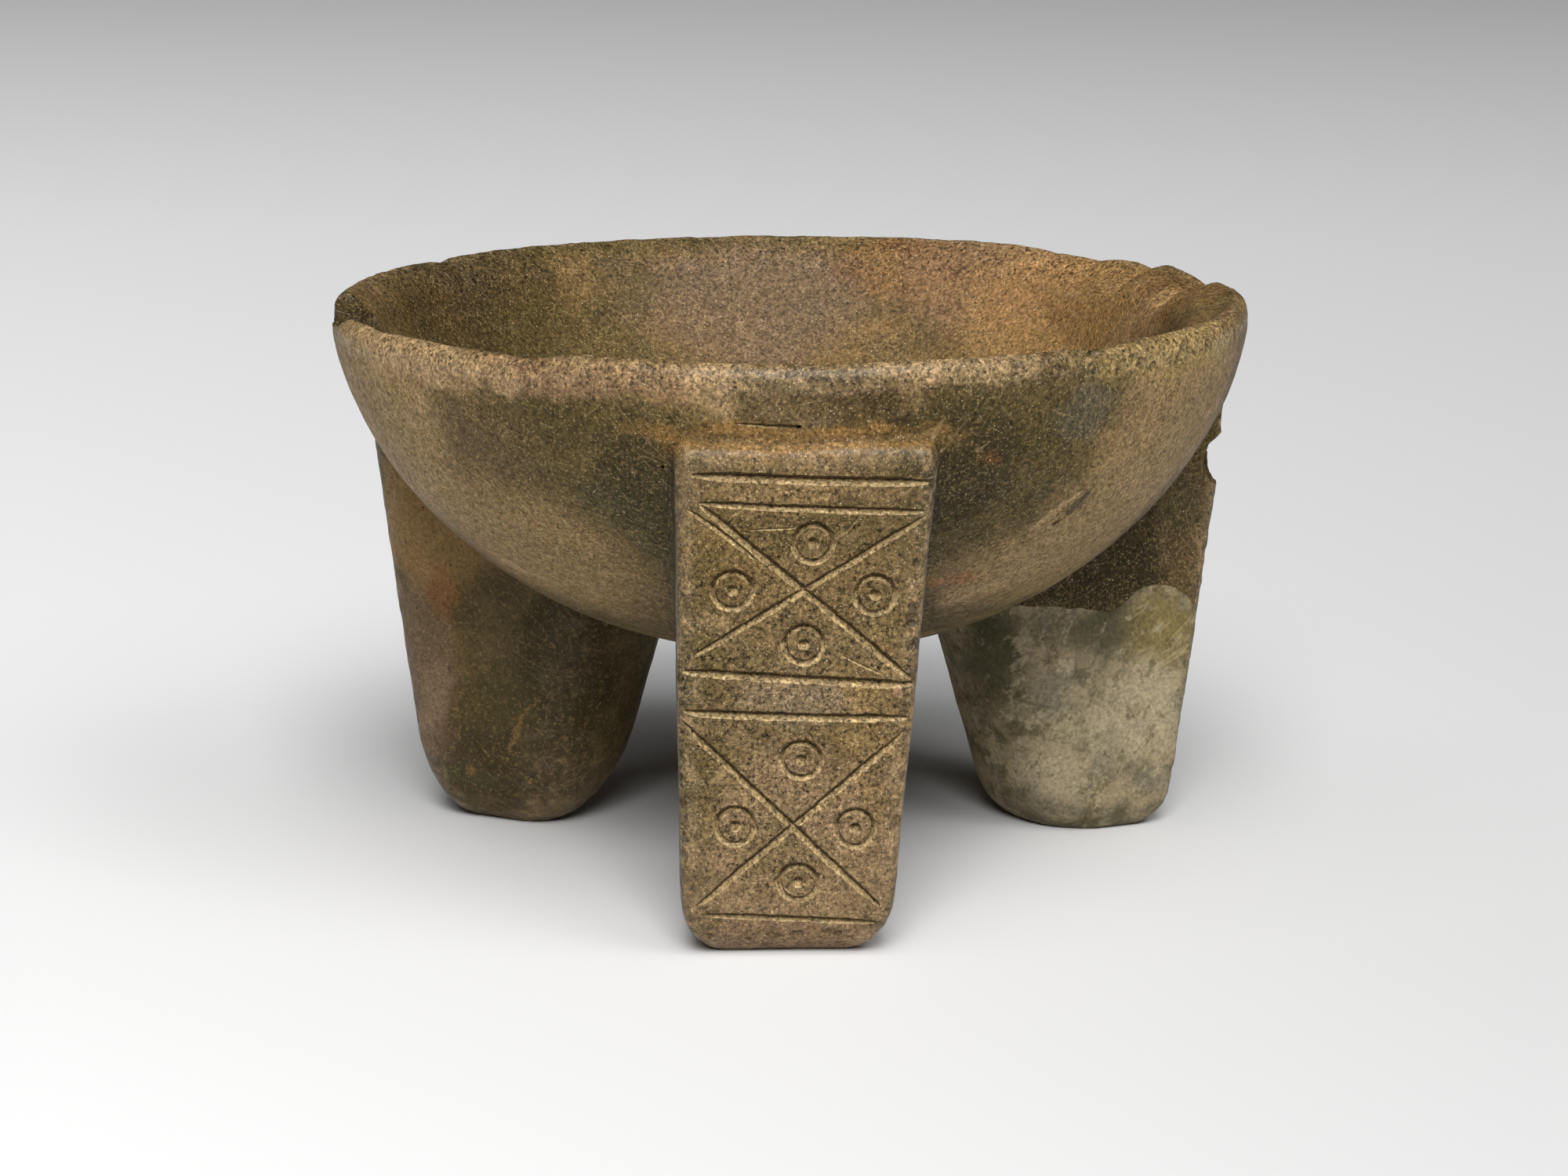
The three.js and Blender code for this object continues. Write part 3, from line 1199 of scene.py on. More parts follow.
class Relief:
    """Where a worn surface stands out or lies hollow, kept as an attribute of the stone."""

    NAME = "relief"
    LIMIT = 1.5  # the most that is kept, to either side, in full edges

    def __init__(self, stone: bpy.types.Object, passes: int = 14, full: float = 0.22 * MM) -> None:
        """Measures how far each vertex stands proud of its smoothed surroundings.

        Args:
            stone: the worn block.
            passes: how often the surroundings are smoothed; more looks further around.
            full: the offset that counts as a full edge.
        """
        mesh = stone.data
        count = len(mesh.vertices)
        places = np.empty(count * 3)
        mesh.vertices.foreach_get("co", places)
        places = places.reshape(-1, 3)
        normals = np.empty(count * 3)
        mesh.vertices.foreach_get("normal", normals)
        normals = normals.reshape(-1, 3)
        edges = np.empty(len(mesh.edges) * 2, dtype=np.int64)
        mesh.edges.foreach_get("vertices", edges)
        one, two = edges.reshape(-1, 2).T
        degree = np.bincount(one, minlength=count) + np.bincount(two, minlength=count)
        smooth = places.copy()
        for _ in range(passes):
            total = np.empty_like(smooth)
            for axis in range(3):
                total[:, axis] = np.bincount(one, smooth[two, axis], count)
                total[:, axis] += np.bincount(two, smooth[one, axis], count)
            smooth = 0.5 * smooth + 0.5 * total / degree[:, None]
        self.values = ((places - smooth) * normals).sum(axis=1) / full
        self.tree = KDTree(count)
        for index, place in enumerate(places):
            self.tree.insert(place, index)
        self.tree.balance()

    def edges(self, stone: bpy.types.Object, name: str) -> None:
        """Paints the edges that stand out into a vertex group of the block.

        Args:
            stone: the block that was measured.
            name: the group's name.
        """
        group = stone.vertex_groups.new(name=name)
        steps = 10
        level = np.clip(np.round(self.values * steps), 0, steps).astype(int)
        for step in range(1, steps + 1):
            group.add(np.flatnonzero(level == step).tolist(), step / steps, "REPLACE")

    def give(self, piece: bpy.types.Object) -> None:
        """Writes the measure to a piece of the block, by its nearest places.

        Args:
            piece: a piece that was parted from the block.
        """
        values = [self.values[self.tree.find(v.co)[1]] for v in piece.data.vertices]
        attribute = piece.data.attributes.new(self.NAME, "FLOAT", "POINT")
        values = np.clip(values, -self.LIMIT, self.LIMIT).astype(np.float32)
        attribute.data.foreach_set("value", values)


class Sketch:
    """Lays out the nodes of one material."""

    def __init__(self, name: str) -> None:
        """Starts the material.

        Args:
            name: its name.
        """
        self.material = bpy.data.materials.new(name)
        self.material.use_nodes = True
        self.tree = self.material.node_tree
        self.shader = self.tree.nodes["Principled BSDF"]
        self.place = self.tree.nodes.new("ShaderNodeTexCoord").outputs["Object"]

    def node(self, kind: str, inputs: Optional[dict] = None, **settings: object) -> bpy.types.Node:
        """Adds a node.

        Args:
            kind: the node's type.
            inputs: a value or a socket for each input, by name or number.
            settings: the node's properties.

        Returns:
            The node.
        """
        made = self.tree.nodes.new(kind)
        for name, value in settings.items():
            setattr(made, name, value)
        for name, value in (inputs or {}).items():
            self.feed(made.inputs[name], value)
        return made

    def feed(self, socket: bpy.types.NodeSocket, value: object) -> None:
        """Links a socket to a socket, or gives it a value.

        Args:
            socket: the input that is fed.
            value: the output it is linked to, or its value.
        """
        if isinstance(value, bpy.types.NodeSocket):
            self.tree.links.new(value, socket)
        elif socket.type == "RGBA" and len(value) == 3:
            socket.default_value = (*value, 1)
        else:
            socket.default_value = value

    def calculate(self, how: str, one: object, two: object = 0.5) -> object:
        """Combines two values.

        Args:
            how: the operation.
            one: the first value.
            two: the second one, where the operation has it.

        Returns:
            The result.
        """
        return self.node("ShaderNodeMath", {0: one, 1: two}, operation=how).outputs[0]

    def shifted(self, place: object, shift: object) -> object:
        """Adds a shift to a place."""
        inputs = {0: place, 1: shift}
        return self.node("ShaderNodeVectorMath", inputs, operation="ADD").outputs[0]

    def stretched(self, turn: Place, scale: Place) -> object:
        """Reads the object's place in a frame that is turned and stretched along its axes.

        Args:
            turn: the frame's turn, in degrees.
            scale: how far it is stretched along each axis.

        Returns:
            The place in that frame.
        """
        angles = [math.radians(angle) for angle in turn]
        inputs = {"Vector": self.place, "Rotation": angles, "Scale": scale}
        return self.node("ShaderNodeMapping", inputs, vector_type="TEXTURE").outputs[0]

    def noise(
        self,
        size: float,
        detail: float = 3,
        rough: float = 0.55,
        shift: Place = (0, 0, 0),
        at: Optional[object] = None,
    ) -> object:
        """Draws rolling noise.

        Args:
            size: of one feature, in metres.
            detail: how many finer layers it has.
            rough: how strong those are.
            shift: moves the pattern.
            at: where it is read; the object's own place if left out.

        Returns:
            The noise, about 0.5 on average.
        """
        where = self.shifted(at or self.place, shift)
        inputs = {"Vector": where, "Scale": 1 / size, "Detail": detail, "Roughness": rough}
        return self.node("ShaderNodeTexNoise", inputs).outputs["Fac"]

    def grains(self, size: float, radius: Flat, chosen: Flat, shift: Place = (0, 0, 0)) -> object:
        """Scatters round grains.

        Args:
            size: from one grain to the next, in metres.
            radius: where a grain fades out and where it is full, in grains.
            chosen: the random value from which a grain is drawn, and from which it is full.
            shift: moves the pattern.

        Returns:
            1 on a grain, 0 elsewhere.
        """
        where = self.shifted(self.place, shift)
        made = self.node("ShaderNodeTexVoronoi", {"Vector": where, "Scale": 1 / size})
        pick = self.node("ShaderNodeSeparateColor", {0: made.outputs["Color"]}).outputs[0]
        return self.times(self.span(made.outputs["Distance"], *radius), self.span(pick, *chosen))

    def hairs(self, size: float, width: float, share: float, turn: Place, shift: Place) -> object:
        """Draws fine scratches that run about one way.

        Args:
            size: how far apart they are, in metres.
            width: of one scratch, as a share of that.
            share: how much of the surface has them.
            turn: which way they run, in degrees.
            shift: moves the pattern.

        Returns:
            1 on a scratch, 0 elsewhere.
        """
        drawn_out = self.stretched(turn, (1, 14, 1))
        line = self.noise(size, 1, 0.5, shift, drawn_out)
        off = self.calculate("ABSOLUTE", self.calculate("SUBTRACT", line, 0.5))
        patches = self.noise(3 * size, 2, 0.5, (shift[2], shift[0], shift[1]))
        some = self.span(patches, 1 - share, 1.1 - share)
        return self.times(self.span(off, width, 0), some)

    def span(
        self, value: object, low: float, high: float, to: Flat = (0, 1), soft: bool = True
    ) -> object:
        """Stretches a value from one range to another, and stops at its ends.

        Args:
            value: the socket to read.
            low: what gives the first value.
            high: what gives the second.
            to: the two values.
            soft: whether it eases in and out.

        Returns:
            The stretched value.
        """
        inputs = {
            "Value": value,
            "From Min": low,
            "From Max": high,
            "To Min": to[0],
            "To Max": to[1],
        }
        kind = "SMOOTHSTEP" if soft else "LINEAR"
        return self.node("ShaderNodeMapRange", inputs, interpolation_type=kind).outputs["Result"]

    def times(self, one: object, two: object) -> object:
        """Multiplies two values."""
        return self.calculate("MULTIPLY", one, two)

    def plus(self, one: object, two: object) -> object:
        """Adds two values."""
        return self.calculate("ADD", one, two)

    def mix(self, share: object, one: object, two: object, how: str = "MIX") -> object:
        """Mixes two colours.

        Args:
            share: how far the result goes from the first colour to the second.
            one: the first colour.
            two: the second one.
            how: the kind of mixing.

        Returns:
            The mixed colour.
        """
        made = self.node("ShaderNodeMix", data_type="RGBA", blend_type=how)
        self.feed(made.inputs["Factor"], share)
        self.feed(made.inputs[6], one)
        self.feed(made.inputs[7], two)
        return made.outputs[2]

    def spot(self, place: Place, size: Place, at: object, turn: Place = (0, 0, 0)) -> object:
        """Draws a soft round spot.

        Args:
            place: its middle, in metres.
            size: its half lengths.
            at: the coordinate it is read at, so that its outline can be ragged.
            turn: its turn, in degrees.

        Returns:
            1 at its middle, 0 outside.
        """
        angles = [math.radians(angle) for angle in turn]
        inputs = {"Vector": at, "Location": place, "Rotation": angles, "Scale": size}
        near = self.node("ShaderNodeMapping", inputs, vector_type="TEXTURE").outputs[0]
        return self.node("ShaderNodeTexGradient", {0: near}, gradient_type="SPHERICAL").outputs[1]

    def ragged(self, size: float, reach: float) -> object:
        """Pushes the object's place about by noise, so that outlines read there are ragged.

        Args:
            size: of one lobe of the outline, in metres.
            reach: how far it is pushed.

        Returns:
            The pushed place.
        """
        inputs = {"Vector": self.place, "Scale": 1 / size, "Detail": 5}
        push = self.node("ShaderNodeTexNoise", inputs).outputs["Color"]
        inputs = {0: push, 1: (0.5, 0.5, 0.5)}
        push = self.node("ShaderNodeVectorMath", inputs, operation="SUBTRACT").outputs[0]
        inputs = {0: push, "Scale": reach}
        push = self.node("ShaderNodeVectorMath", inputs, operation="SCALE").outputs[0]
        return self.shifted(self.place, push)


@dataclass(frozen=True)
class Stain:
    """A patch of another colour: mostly the stone's own discolouring, in some places painted light
    and shade.

    Args:
        colour: linear red, green and blue.
        place: its middle, in millimetres.
        size: its half lengths, in millimetres.
        strength: how far the stone takes the colour.
        turn: its turn, in degrees.
    """

    colour: Colour
    place: Place
    size: Place
    strength: float = 0.8
    turn: Place = (0, 0, 0)

    SPREAD = 1.3  # a tint fades out at this many of its half lengths
    FAINT = 0.02  # below this share of its middle it isn't seen

    @staticmethod
    def lay(
        sketch: Sketch,
        colour: object,
        tints: Sequence["Stain"],
        edge: float = 0.5,
        ragged: Flat = (7, 9),
    ) -> object:
        """Lays discolourings and painted light and shade over a colour.

        Args:
            sketch: the material.
            colour: what they are laid over.
            tints: the discolourings and painted light and shade, the undermost first.
            edge: how far into a tint its outline fades.
            ragged: size and reach of the lobes of their outlines, in millimetres.

        Returns:
            The stained colour.
        """
        near = sketch.ragged(ragged[0] * MM, ragged[1] * MM)
        for tint in tints:
            place = tuple(length * MM for length in tint.place)
            size = tuple(Stain.SPREAD * length * MM for length in tint.size)
            spot = sketch.spot(place, size, near, tint.turn)
            mask = sketch.span(spot, Stain.FAINT, edge, (0, tint.strength))
            colour = sketch.mix(mask, colour, tint.colour)
        return colour


@dataclass(frozen=True)
class Mottle:
    """Irregular patches of another colour.

    Args:
        colour: linear red, green and blue.
        size: of one patch, in millimetres.
        low: the noise at which a patch begins.
        high: the noise at which it is full.
        strength: how far the stone takes the colour.
        shift: moves the pattern.
        detail: how many finer layers the noise has.
        rough: how strong those are.
    """

    colour: Colour
    size: float
    low: float
    high: float
    strength: float = 1.0
    shift: Place = (0, 0, 0)
    detail: float = 5
    rough: float = 0.7

    def lay(self, s: Sketch, colour: object, at: Optional[object] = None) -> object:
        """Lays the patches over a colour.

        Args:
            s: the material.
            colour: what they are laid over.
            at: where the noise is read; the object's own place if left out.

        Returns:
            The patched colour.
        """
        noise = s.noise(self.size * MM, self.detail, self.rough, self.shift, at)
        share = s.span(noise, self.low, self.high, (0, self.strength))
        return s.mix(share, colour, self.colour)


OLIVE = (0.058, 0.043, 0.013)
GREEN = (0.044, 0.041, 0.017)
DARK = (0.024, 0.018, 0.007)
BROWN = (0.105, 0.068, 0.029)
RUST = (0.20, 0.075, 0.022)
OCHRE = (0.185, 0.108, 0.036)
GOLD = (0.205, 0.132, 0.050)
ROSE = (0.21, 0.118, 0.065)
TAN = (0.30, 0.20, 0.10)
SLATE = (0.085, 0.073, 0.047)
MAUVE = (0.135, 0.087, 0.054)
# colour of pale crystals, partly the stone's own grains and partly painted glints
CRYSTAL_GLINT = (0.40, 0.31, 0.19)
# colour of painted glints, standing in for highlights off mineral facets
PAINTED_GLINT = (0.55, 0.48, 0.35)
FRESH_AND_LIT_BED = (0.37, 0.265, 0.13)  # freshly cut stone, laid on cut walls that face up, partly as painted light

# the stone's own discolouring, with some entries of painted light and shade
STAINS_AND_PAINTED_LIGHT = (
    Stain(OLIVE, (-30, -62, 66), (22, 18, 26), 0.8),
    Stain(GREEN, (-22, -60, 62), (13, 12, 16), 0.5),
    # painted shade in the fillet left of the front leg, partly dark pits
    Stain(DARK, (-20, -68, 76), (9, 8, 12), 0.5),
    # painted light on the down-facing lower right wall, partly its own gold tone
    Stain((0.225, 0.150, 0.063), (50, -44, 60), (26, 22, 20), 0.85),
    # painted light on the lower right wall, partly pale stone
    Stain(TAN, (34, -47, 58), (16, 12, 8), 0.3),
    Stain((0.23, 0.15, 0.062), (-44, -46, 57), (25, 22, 16), 0.8),
    Stain(OLIVE, (31, -64, 74), (22, 16, 19), 0.9),
    # painted shade in the fillet right of the front leg
    Stain(DARK, (25, -66, 76), (11, 9, 13), 0.7),
    # painted shade: the flat panel above the front ledge darkened, partly dark stone
    Stain((0.045, 0.029, 0.008), (9, -76, 86.2), (20, 5, 5.5), 0.95),
    Stain(DARK, (16, -75, 84.5), (10, 5, 3.5), 0.5),
    Stain(SLATE, (45, -58, 84), (5, 6, 5), 0.6),
    Stain((0.25, 0.165, 0.07), (64, -38, 78), (20, 22, 18), 0.8),
    Stain((0.25, 0.175, 0.062), (59, -44, 90.5), (24, 20, 3.4), 0.6),
    Stain(RUST, (30, -66, 78), (3, 3, 1.5), 0.25),
    Stain(BROWN, (-48, -58, 76), (12, 12, 9), 0.3),
    Stain((0.25, 0.165, 0.07), (-66, -34, 76), (16, 28, 22), 0.85),
    Stain(ROSE, (-32, -66, 90.5), (30, 12, 3), 0.5),
    Stain(TAN, (-60, -42, 90.5), (20, 26, 3.4), 0.8),
    Stain(TAN, (-10, -71, 90), (4.5, 5, 5), 0.7),
    Stain((0.24, 0.115, 0.05), (25.5, -50, 56.5), (6, 6, 1.5), 0.8),
    Stain(TAN, (30, -44, 53), (8, 6, 1.6), 0.6),
    Stain(DARK, (-56, 38, 84), (18, 28, 16), 0.72),
    Stain(OLIVE, (-42, 47, 78), (18, 16, 9), 0.6),
    Stain(MAUVE, (-6, 62, 83), (20, 14, 12), 0.6),
    Stain(RUST, (20, 62, 90), (14, 12, 6), 0.3),
    Stain(ROSE, (34, 56, 88), (18, 16, 9), 0.5),
    Stain((0.243, 0.141, 0.052), (50, 44, 82), (22, 26, 15), 0.8),
    Stain(TAN, (61, 17, 83), (9, 13, 8), 0.5),
    Stain(OCHRE, (68, 5, 91), (8, 13, 4), 0.5),
    Stain(RUST, (66, 22, 86), (10, 20, 8), 0.25),
    Stain((0.26, 0.135, 0.055), (44, 50, 86), (13, 14, 8), 0.45),
    Stain(OLIVE, (-52, 18, 36), (24, 26, 42), 0.38),
    Stain(GREEN, (-46, 6, 34), (9, 9, 18), 0.25),
    Stain(MAUVE, (-62, 12, 26), (6, 8, 24), 0.6),
    Stain((0.225, 0.135, 0.052), (-60, 10, 54), (12, 12, 13), 0.75),
    Stain(RUST, (-58, 9.5, 41), (2.6, 3, 5.0), 0.5),
    Stain((0.17, 0.11, 0.066), (-60, 13, 20), (3.6, 6, 10), 0.7),
    Stain(DARK, (-52, 8, 11), (16, 10, 8), 0.6),
    Stain(GREEN, (-57, 12, 8.5), (7, 5, 2.4), 0.7),
    # painted shade on the left leg's inner side, under the bowl
    Stain(DARK, (-36, 2, 28), (8, 8, 24), 0.65),
    Stain(DARK, (50, 4, 52), (24, 20, 15), 0.8),
    Stain(BROWN, (66, 9, 54), (6, 6, 14), 0.7),
    Stain(GREEN, (65, 8, 58), (4, 5, 7), 0.5),
    Stain((0.128, 0.086, 0.040), (0, -76, 46), (21, 7, 50), 0.8),
    Stain((0.19, 0.126, 0.066), (-1, -70, 16), (17, 9, 17), 0.8),
    Stain((0.20, 0.125, 0.07), (0, -66, 2), (20, 9, 4), 0.7),
    Stain((0.195, 0.107, 0.031), (0, -70, 82), (24, 9, 3), 0.8),
    Stain(OCHRE, (-9.5, -73, 64.5), (6, 4, 5), 0.4),
    Stain(TAN, (-13.5, -72, 53.5), (3, 3, 3.5), 0.75),
    Stain((0.115, 0.072, 0.026), (0, -76, 62), (21, 6, 15), 0.5),
    Stain(OLIVE, (1, -74, 68), (14, 4, 5), 0.6),
    Stain(OLIVE, (-16, -72, 50), (5, 5, 10), 0.8),
    Stain(OLIVE, (-16, -70, 23), (5, 5, 12), 0.5),
    Stain(OLIVE, (-1, -70, 17), (9, 4, 8), 0.4),
    Stain(DARK, (17.8, -70, 47), (1.8, 3, 5.5), 0.7),
    Stain((0.19, 0.137, 0.088), (3, -73, 41.5), (14, 4, 4.5), 0.5),
    Stain((0.215, 0.137, 0.06), (3, -76, 74.6), (21, 5, 2.6), 0.3),
    Stain(OLIVE, (-13, -74, 60), (5, 4, 4.5), 0.5),
    Stain(BROWN, (-24, -68, 93), (16, 10, 3), 0.3),
    Stain(DARK, (-18, -68, 20), (2.4, 4, 14), 0.5),
    Stain(ROSE, (15.8, -70.5, 44.5), (1.2, 3, 1), 0.9),
)

GROUND = (
    Mottle(BROWN, 26, 0.38, 0.62, detail=4, rough=0.6),
    Mottle(GOLD, 13, 0.48, 0.7, 0.75, (1, 2, 3), rough=0.65),
    Mottle(MAUVE, 18, 0.52, 0.7, 0.3, (4, 1, 7), 4, 0.6),
    Mottle(OLIVE, 5, 0.52, 0.64, 0.45, (6, 5, 2)),
)
PEPPER = (
    Mottle(GOLD, 0.7, 0.56, 0.68, 0.55, (8, 8, 1), 2, 0.6),
    Mottle(DARK, 0.6, 0.57, 0.68, 0.42, (1, 8, 8), 2, 0.6),
)
HOLLOW_WARMTH = Mottle(OCHRE, 15, 0.4, 0.62, 1.0, (2, 2, 2), 5, 0.65)
SCRATCH_TURNS = ((90, 28, 0), (90, -35, 0), (90, 75, 0), (35, 0, 60))

STREAKS = (
    Stain(TAN, (26, -69, 92.6), (16, 6, 2.4), 0.4),
    Stain(TAN, (-42.6, -61, 88.7), (3.0, 3, 2.2), 0.6),
    Stain(TAN, (-60, -43, 80.5), (4.5, 3, 0.7), 0.6, (0, 30, 0)),
    Stain(TAN, (-57, -46, 84), (2.5, 3, 0.6), 0.5, (0, 40, 0)),
    Stain(TAN, (-43.4, -32.4, 54.6), (4.6, 1.3, 1.3), 0.9, (0, 14, -34)),
    Stain(TAN, (-39.6, -35, 53.4), (4.0, 0.7, 0.7), 0.8, (0, 14, -34)),
    Stain(TAN, (40.5, -51.6, 67.0), (4.8, 2, 0.5), 0.8, (0, -36, 5)),
    Stain(DARK, (44.5, -50, 67.4), (3.2, 2, 0.9), 0.85, (0, -52, 5)),
    Stain(OCHRE, (-46.2, 5.8, 17.5), (0.45, 2, 3.6), 0.6, (0, 20, 0)),
    Stain(OCHRE, (-43.8, 4.8, 22.5), (0.35, 2, 3.4), 0.45, (0, 42, 0)),
    Stain(GREEN, (-57, 10, 6.5), (6, 4, 1.0), 0.8, (0, 20, 0)),
    Stain(OCHRE, (-55, 9, 9), (1.6, 3, 2.4), 0.6, (0, 30, 0)),
)

MEND_GROUND = (
    Mottle((0.25, 0.195, 0.11), 9, 0.4, 0.56),
    Mottle((0.066, 0.054, 0.018), 6, 0.5, 0.62, 0.75, (3, 1, 1), rough=0.75),
)
MEND_DAUBS = (
    Mottle((0.34, 0.285, 0.175), 3.2, 0.53, 0.64, 0.6, (1, 1, 4), rough=0.75),
    Mottle((0.07, 0.06, 0.022), 2.6, 0.54, 0.65, 0.65, (9, 1, 4), rough=0.75),
)
MEND_GREY = Mottle((0.16, 0.15, 0.11), 4, 0.6, 0.7, 0.5, (4, 6, 4), 4)

MEND_STAINS = (
    Stain((0.045, 0.041, 0.016), (33, -1, 28), (8, 12, 17), 0.85),
    Stain((0.05, 0.045, 0.018), (37, 0, 9), (4, 7, 9), 0.7),
    Stain((0.046, 0.042, 0.015), (51, 7, 36), (10, 10, 5.5), 0.8),
    Stain((0.17, 0.125, 0.032), (62, 11, 36), (7, 9, 8), 0.75),
    Stain((0.31, 0.26, 0.165), (56, 9, 20), (12, 11, 9), 0.6),
    Stain((0.33, 0.27, 0.17), (43, 3, 10), (8, 9, 7), 0.75),
    Stain((0.33, 0.27, 0.165), (60.5, 10.5, 26), (5, 7, 5), 0.6),
    Stain((0.12, 0.112, 0.08), (44, 3, 25), (4, 6, 5), 0.5),
    Stain((0.13, 0.118, 0.08), (62, 11, 8), (6, 7, 3), 0.5),
    Stain((0.07, 0.055, 0.02), (48, 6, 0), (22, 16, 2.6), 0.8),
)


@dataclass(frozen=True)
class CarvedStone:
    """Ground stone, worn by handling: fine grained, mottled, paler where it is worn, with painted
    shade in its hollows and painted glints.

    Args:
        name: the material's name.
        fresh_and_lit: how much paler cut walls are where they face up, partly as the fresh bed of
            a saw cut and partly as painted light; when set, they also get painted shade where they
            face down.
        bed_darkening: how much darker it is all over, as the bed of a break.
    """

    name: str = "carved_stone"
    fresh_and_lit: float = 0.0
    bed_darkening: float = 0.0

    def ground(self, s: Sketch) -> object:
        """Lays the stone's broad colours, outside and inside the bowl.

        Args:
            s: the material.

        Returns:
            The colour.
        """
        colour = OLIVE
        for mottle in GROUND:
            colour = mottle.lay(s, colour)
        hollow = s.spot((0, 0, 90.5 * MM), (141 * MM, 141 * MM, 95 * MM), s.place)
        hollow = s.span(hollow, 0.49, 0.515)
        return s.mix(s.times(hollow, 0.6), colour, HOLLOW_WARMTH.lay(s, BROWN))

    def worn_edges_and_hollow_shade(self, s: Sketch, colour: object, relief: object) -> object:
        """Makes it pale where edges are worn, and dark in hollows, partly as grime and partly as
        painted shade.

        Args:
            s: the material.
            colour: the stone's colour.
            relief: how far the surface stands out.

        Returns:
            The colour.
        """
        patchy = s.noise(2.0 * MM, 5, 0.7, (3, 3, 9))
        worn = s.times(s.span(relief, 0.1, 0.9), s.span(patchy, 0.42, 0.66))
        colour = s.mix(s.times(worn, 0.6), colour, TAN)
        # painted shade: hollows and creases darkened, partly as grime gathered there
        return s.mix(s.span(relief, -0.3, -1.1, (0, 0.5)), colour, DARK)

    def lit_and_shaded_cut_walls(self, s: Sketch, colour: object) -> object:
        """Paints light and shade on the walls of a cut: pale where they face up, partly as fresh
        stone, and dark where they face down, as painted shade.

        Args:
            s: the material.
            colour: the stone's colour.

        Returns:
            The colour.
        """
        upwards = s.node("ShaderNodeTexCoord").outputs["Normal"]
        upwards = s.node("ShaderNodeSeparateXYZ", {0: upwards}).outputs[2]
        # painted light on cut walls that face up, partly the pale fresh bed
        colour = s.mix(s.span(upwards, -0.35, 0.15, (0, self.fresh_and_lit)), colour, FRESH_AND_LIT_BED)
        # painted shade on cut walls that face down
        return s.mix(s.span(upwards, -0.12, -0.6, (0, 0.75)), colour, DARK)

    def grained(self, s: Sketch, colour: object, fine: object, soft: object) -> object:
        """Adds mineral grains, scratches, dark spots that paint the shade of pits, and glints; the
        glints and part of the pale grains are painted highlights.

        Args:
            s: the material.
            colour: the stone's colour.
            fine: the noise of the finest grain.
            soft: the noise of the coarser one.

        Returns:
            The colour.
        """
        calm = s.spot((-58 * MM, 12 * MM, 22 * MM), (60 * MM, 44 * MM, 70 * MM), s.place)
        strong = s.span(calm, 0.1, 0.5, (1.0, 0.45))
        face = s.spot((0, -74 * MM, 40 * MM), (26 * MM, 14 * MM, 54 * MM), s.place)
        lip = s.spot((0, 0, 96 * MM), (100 * MM, 100 * MM, 12 * MM), s.place)
        rough = s.plus(s.span(face, 0.1, 0.4, (0, 0.3)), s.span(lip, 0.0, 0.15, (0, 0.3)))
        bold = s.times(strong, s.plus(0.7, rough))
        colour = s.mix(bold, colour, s.span(soft, 0.3, 0.7, (0.64, 1.36), False), "MULTIPLY")
        colour = s.mix(bold, colour, s.span(fine, 0.32, 0.68, (0.0, 2.0), False), "MULTIPLY")
        for mottle in PEPPER:
            colour = mottle.lay(s, colour)
        for number, turn in enumerate(SCRATCH_TURNS):
            scratch = s.hairs(5 * MM, 0.008, 0.48, turn, (number, 3, 5))
            colour = s.mix(s.times(scratch, s.times(strong, 0.45)), colour, TAN)
        # dark spots with no hole cut: painted shade of small pits, partly grime in them
        pit = s.grains(1.5 * MM, (0.22, 0.12), (0.82, 0.9), (3, 9, 4))
        colour = s.mix(s.times(pit, 0.7), colour, DARK)
        # pale crystals: partly the stone's own grains, partly painted glints
        crystal_glint = s.grains(0.36 * MM, (0.55, 0.2), (0.66, 0.9), (7, 5, 2))
        bright = s.mix(0.5, s.mix(1.0, colour, (3, 3, 3), "MULTIPLY"), CRYSTAL_GLINT)
        colour = s.mix(s.times(crystal_glint, s.times(strong, 0.65)), colour, bright)
        # painted glints: bright dots standing in for highlights off mineral facets
        glint = s.grains(0.5 * MM, (0.28, 0.1), (0.94, 1.0), (2, 5, 7))
        return s.mix(s.times(glint, strong), colour, PAINTED_GLINT)

    def make(self) -> bpy.types.Material:
        """Builds the material.

        Returns:
            The material.
        """
        s = Sketch(self.name)
        relief = s.node("ShaderNodeAttribute", attribute_name=Relief.NAME).outputs["Fac"]
        soft = s.noise(1.5 * MM, 4, 0.6, (2, 8, 1))
        fine = s.noise(0.6 * MM, 3, 0.75, (5, 5, 5))
        colour = Stain.lay(s, self.ground(s), STAINS_AND_PAINTED_LIGHT)
        colour = Stain.lay(s, colour, STREAKS, 0.3, (1.6, 1.6))
        colour = self.worn_edges_and_hollow_shade(s, colour, relief)
        if self.fresh_and_lit:
            colour = self.lit_and_shaded_cut_walls(s, colour)
        # darkens the whole surface towards DARK by this share
        if self.bed_darkening:
            colour = s.mix(self.bed_darkening, colour, DARK)
        colour = self.grained(s, colour, fine, soft)
        s.feed(s.shader.inputs["Base Color"], colour)
        rough = s.span(soft, 0.3, 0.7, (0.66, 0.46))
        s.feed(s.shader.inputs["Roughness"], s.plus(rough, s.span(relief, 0.1, 0.9, (0, -0.12))))
        s.feed(s.shader.inputs["Specular IOR Level"], s.span(relief, 0.0, 0.8, (0.10, 0.24)))
        height = s.plus(s.times(fine, 0.4), s.times(soft, 0.6))
        bump = s.node("ShaderNodeBump", {"Height": height, "Strength": 0.55, "Distance": 0.3 * MM})
        s.feed(s.shader.inputs["Normal"], bump.outputs[0])
        return s.material


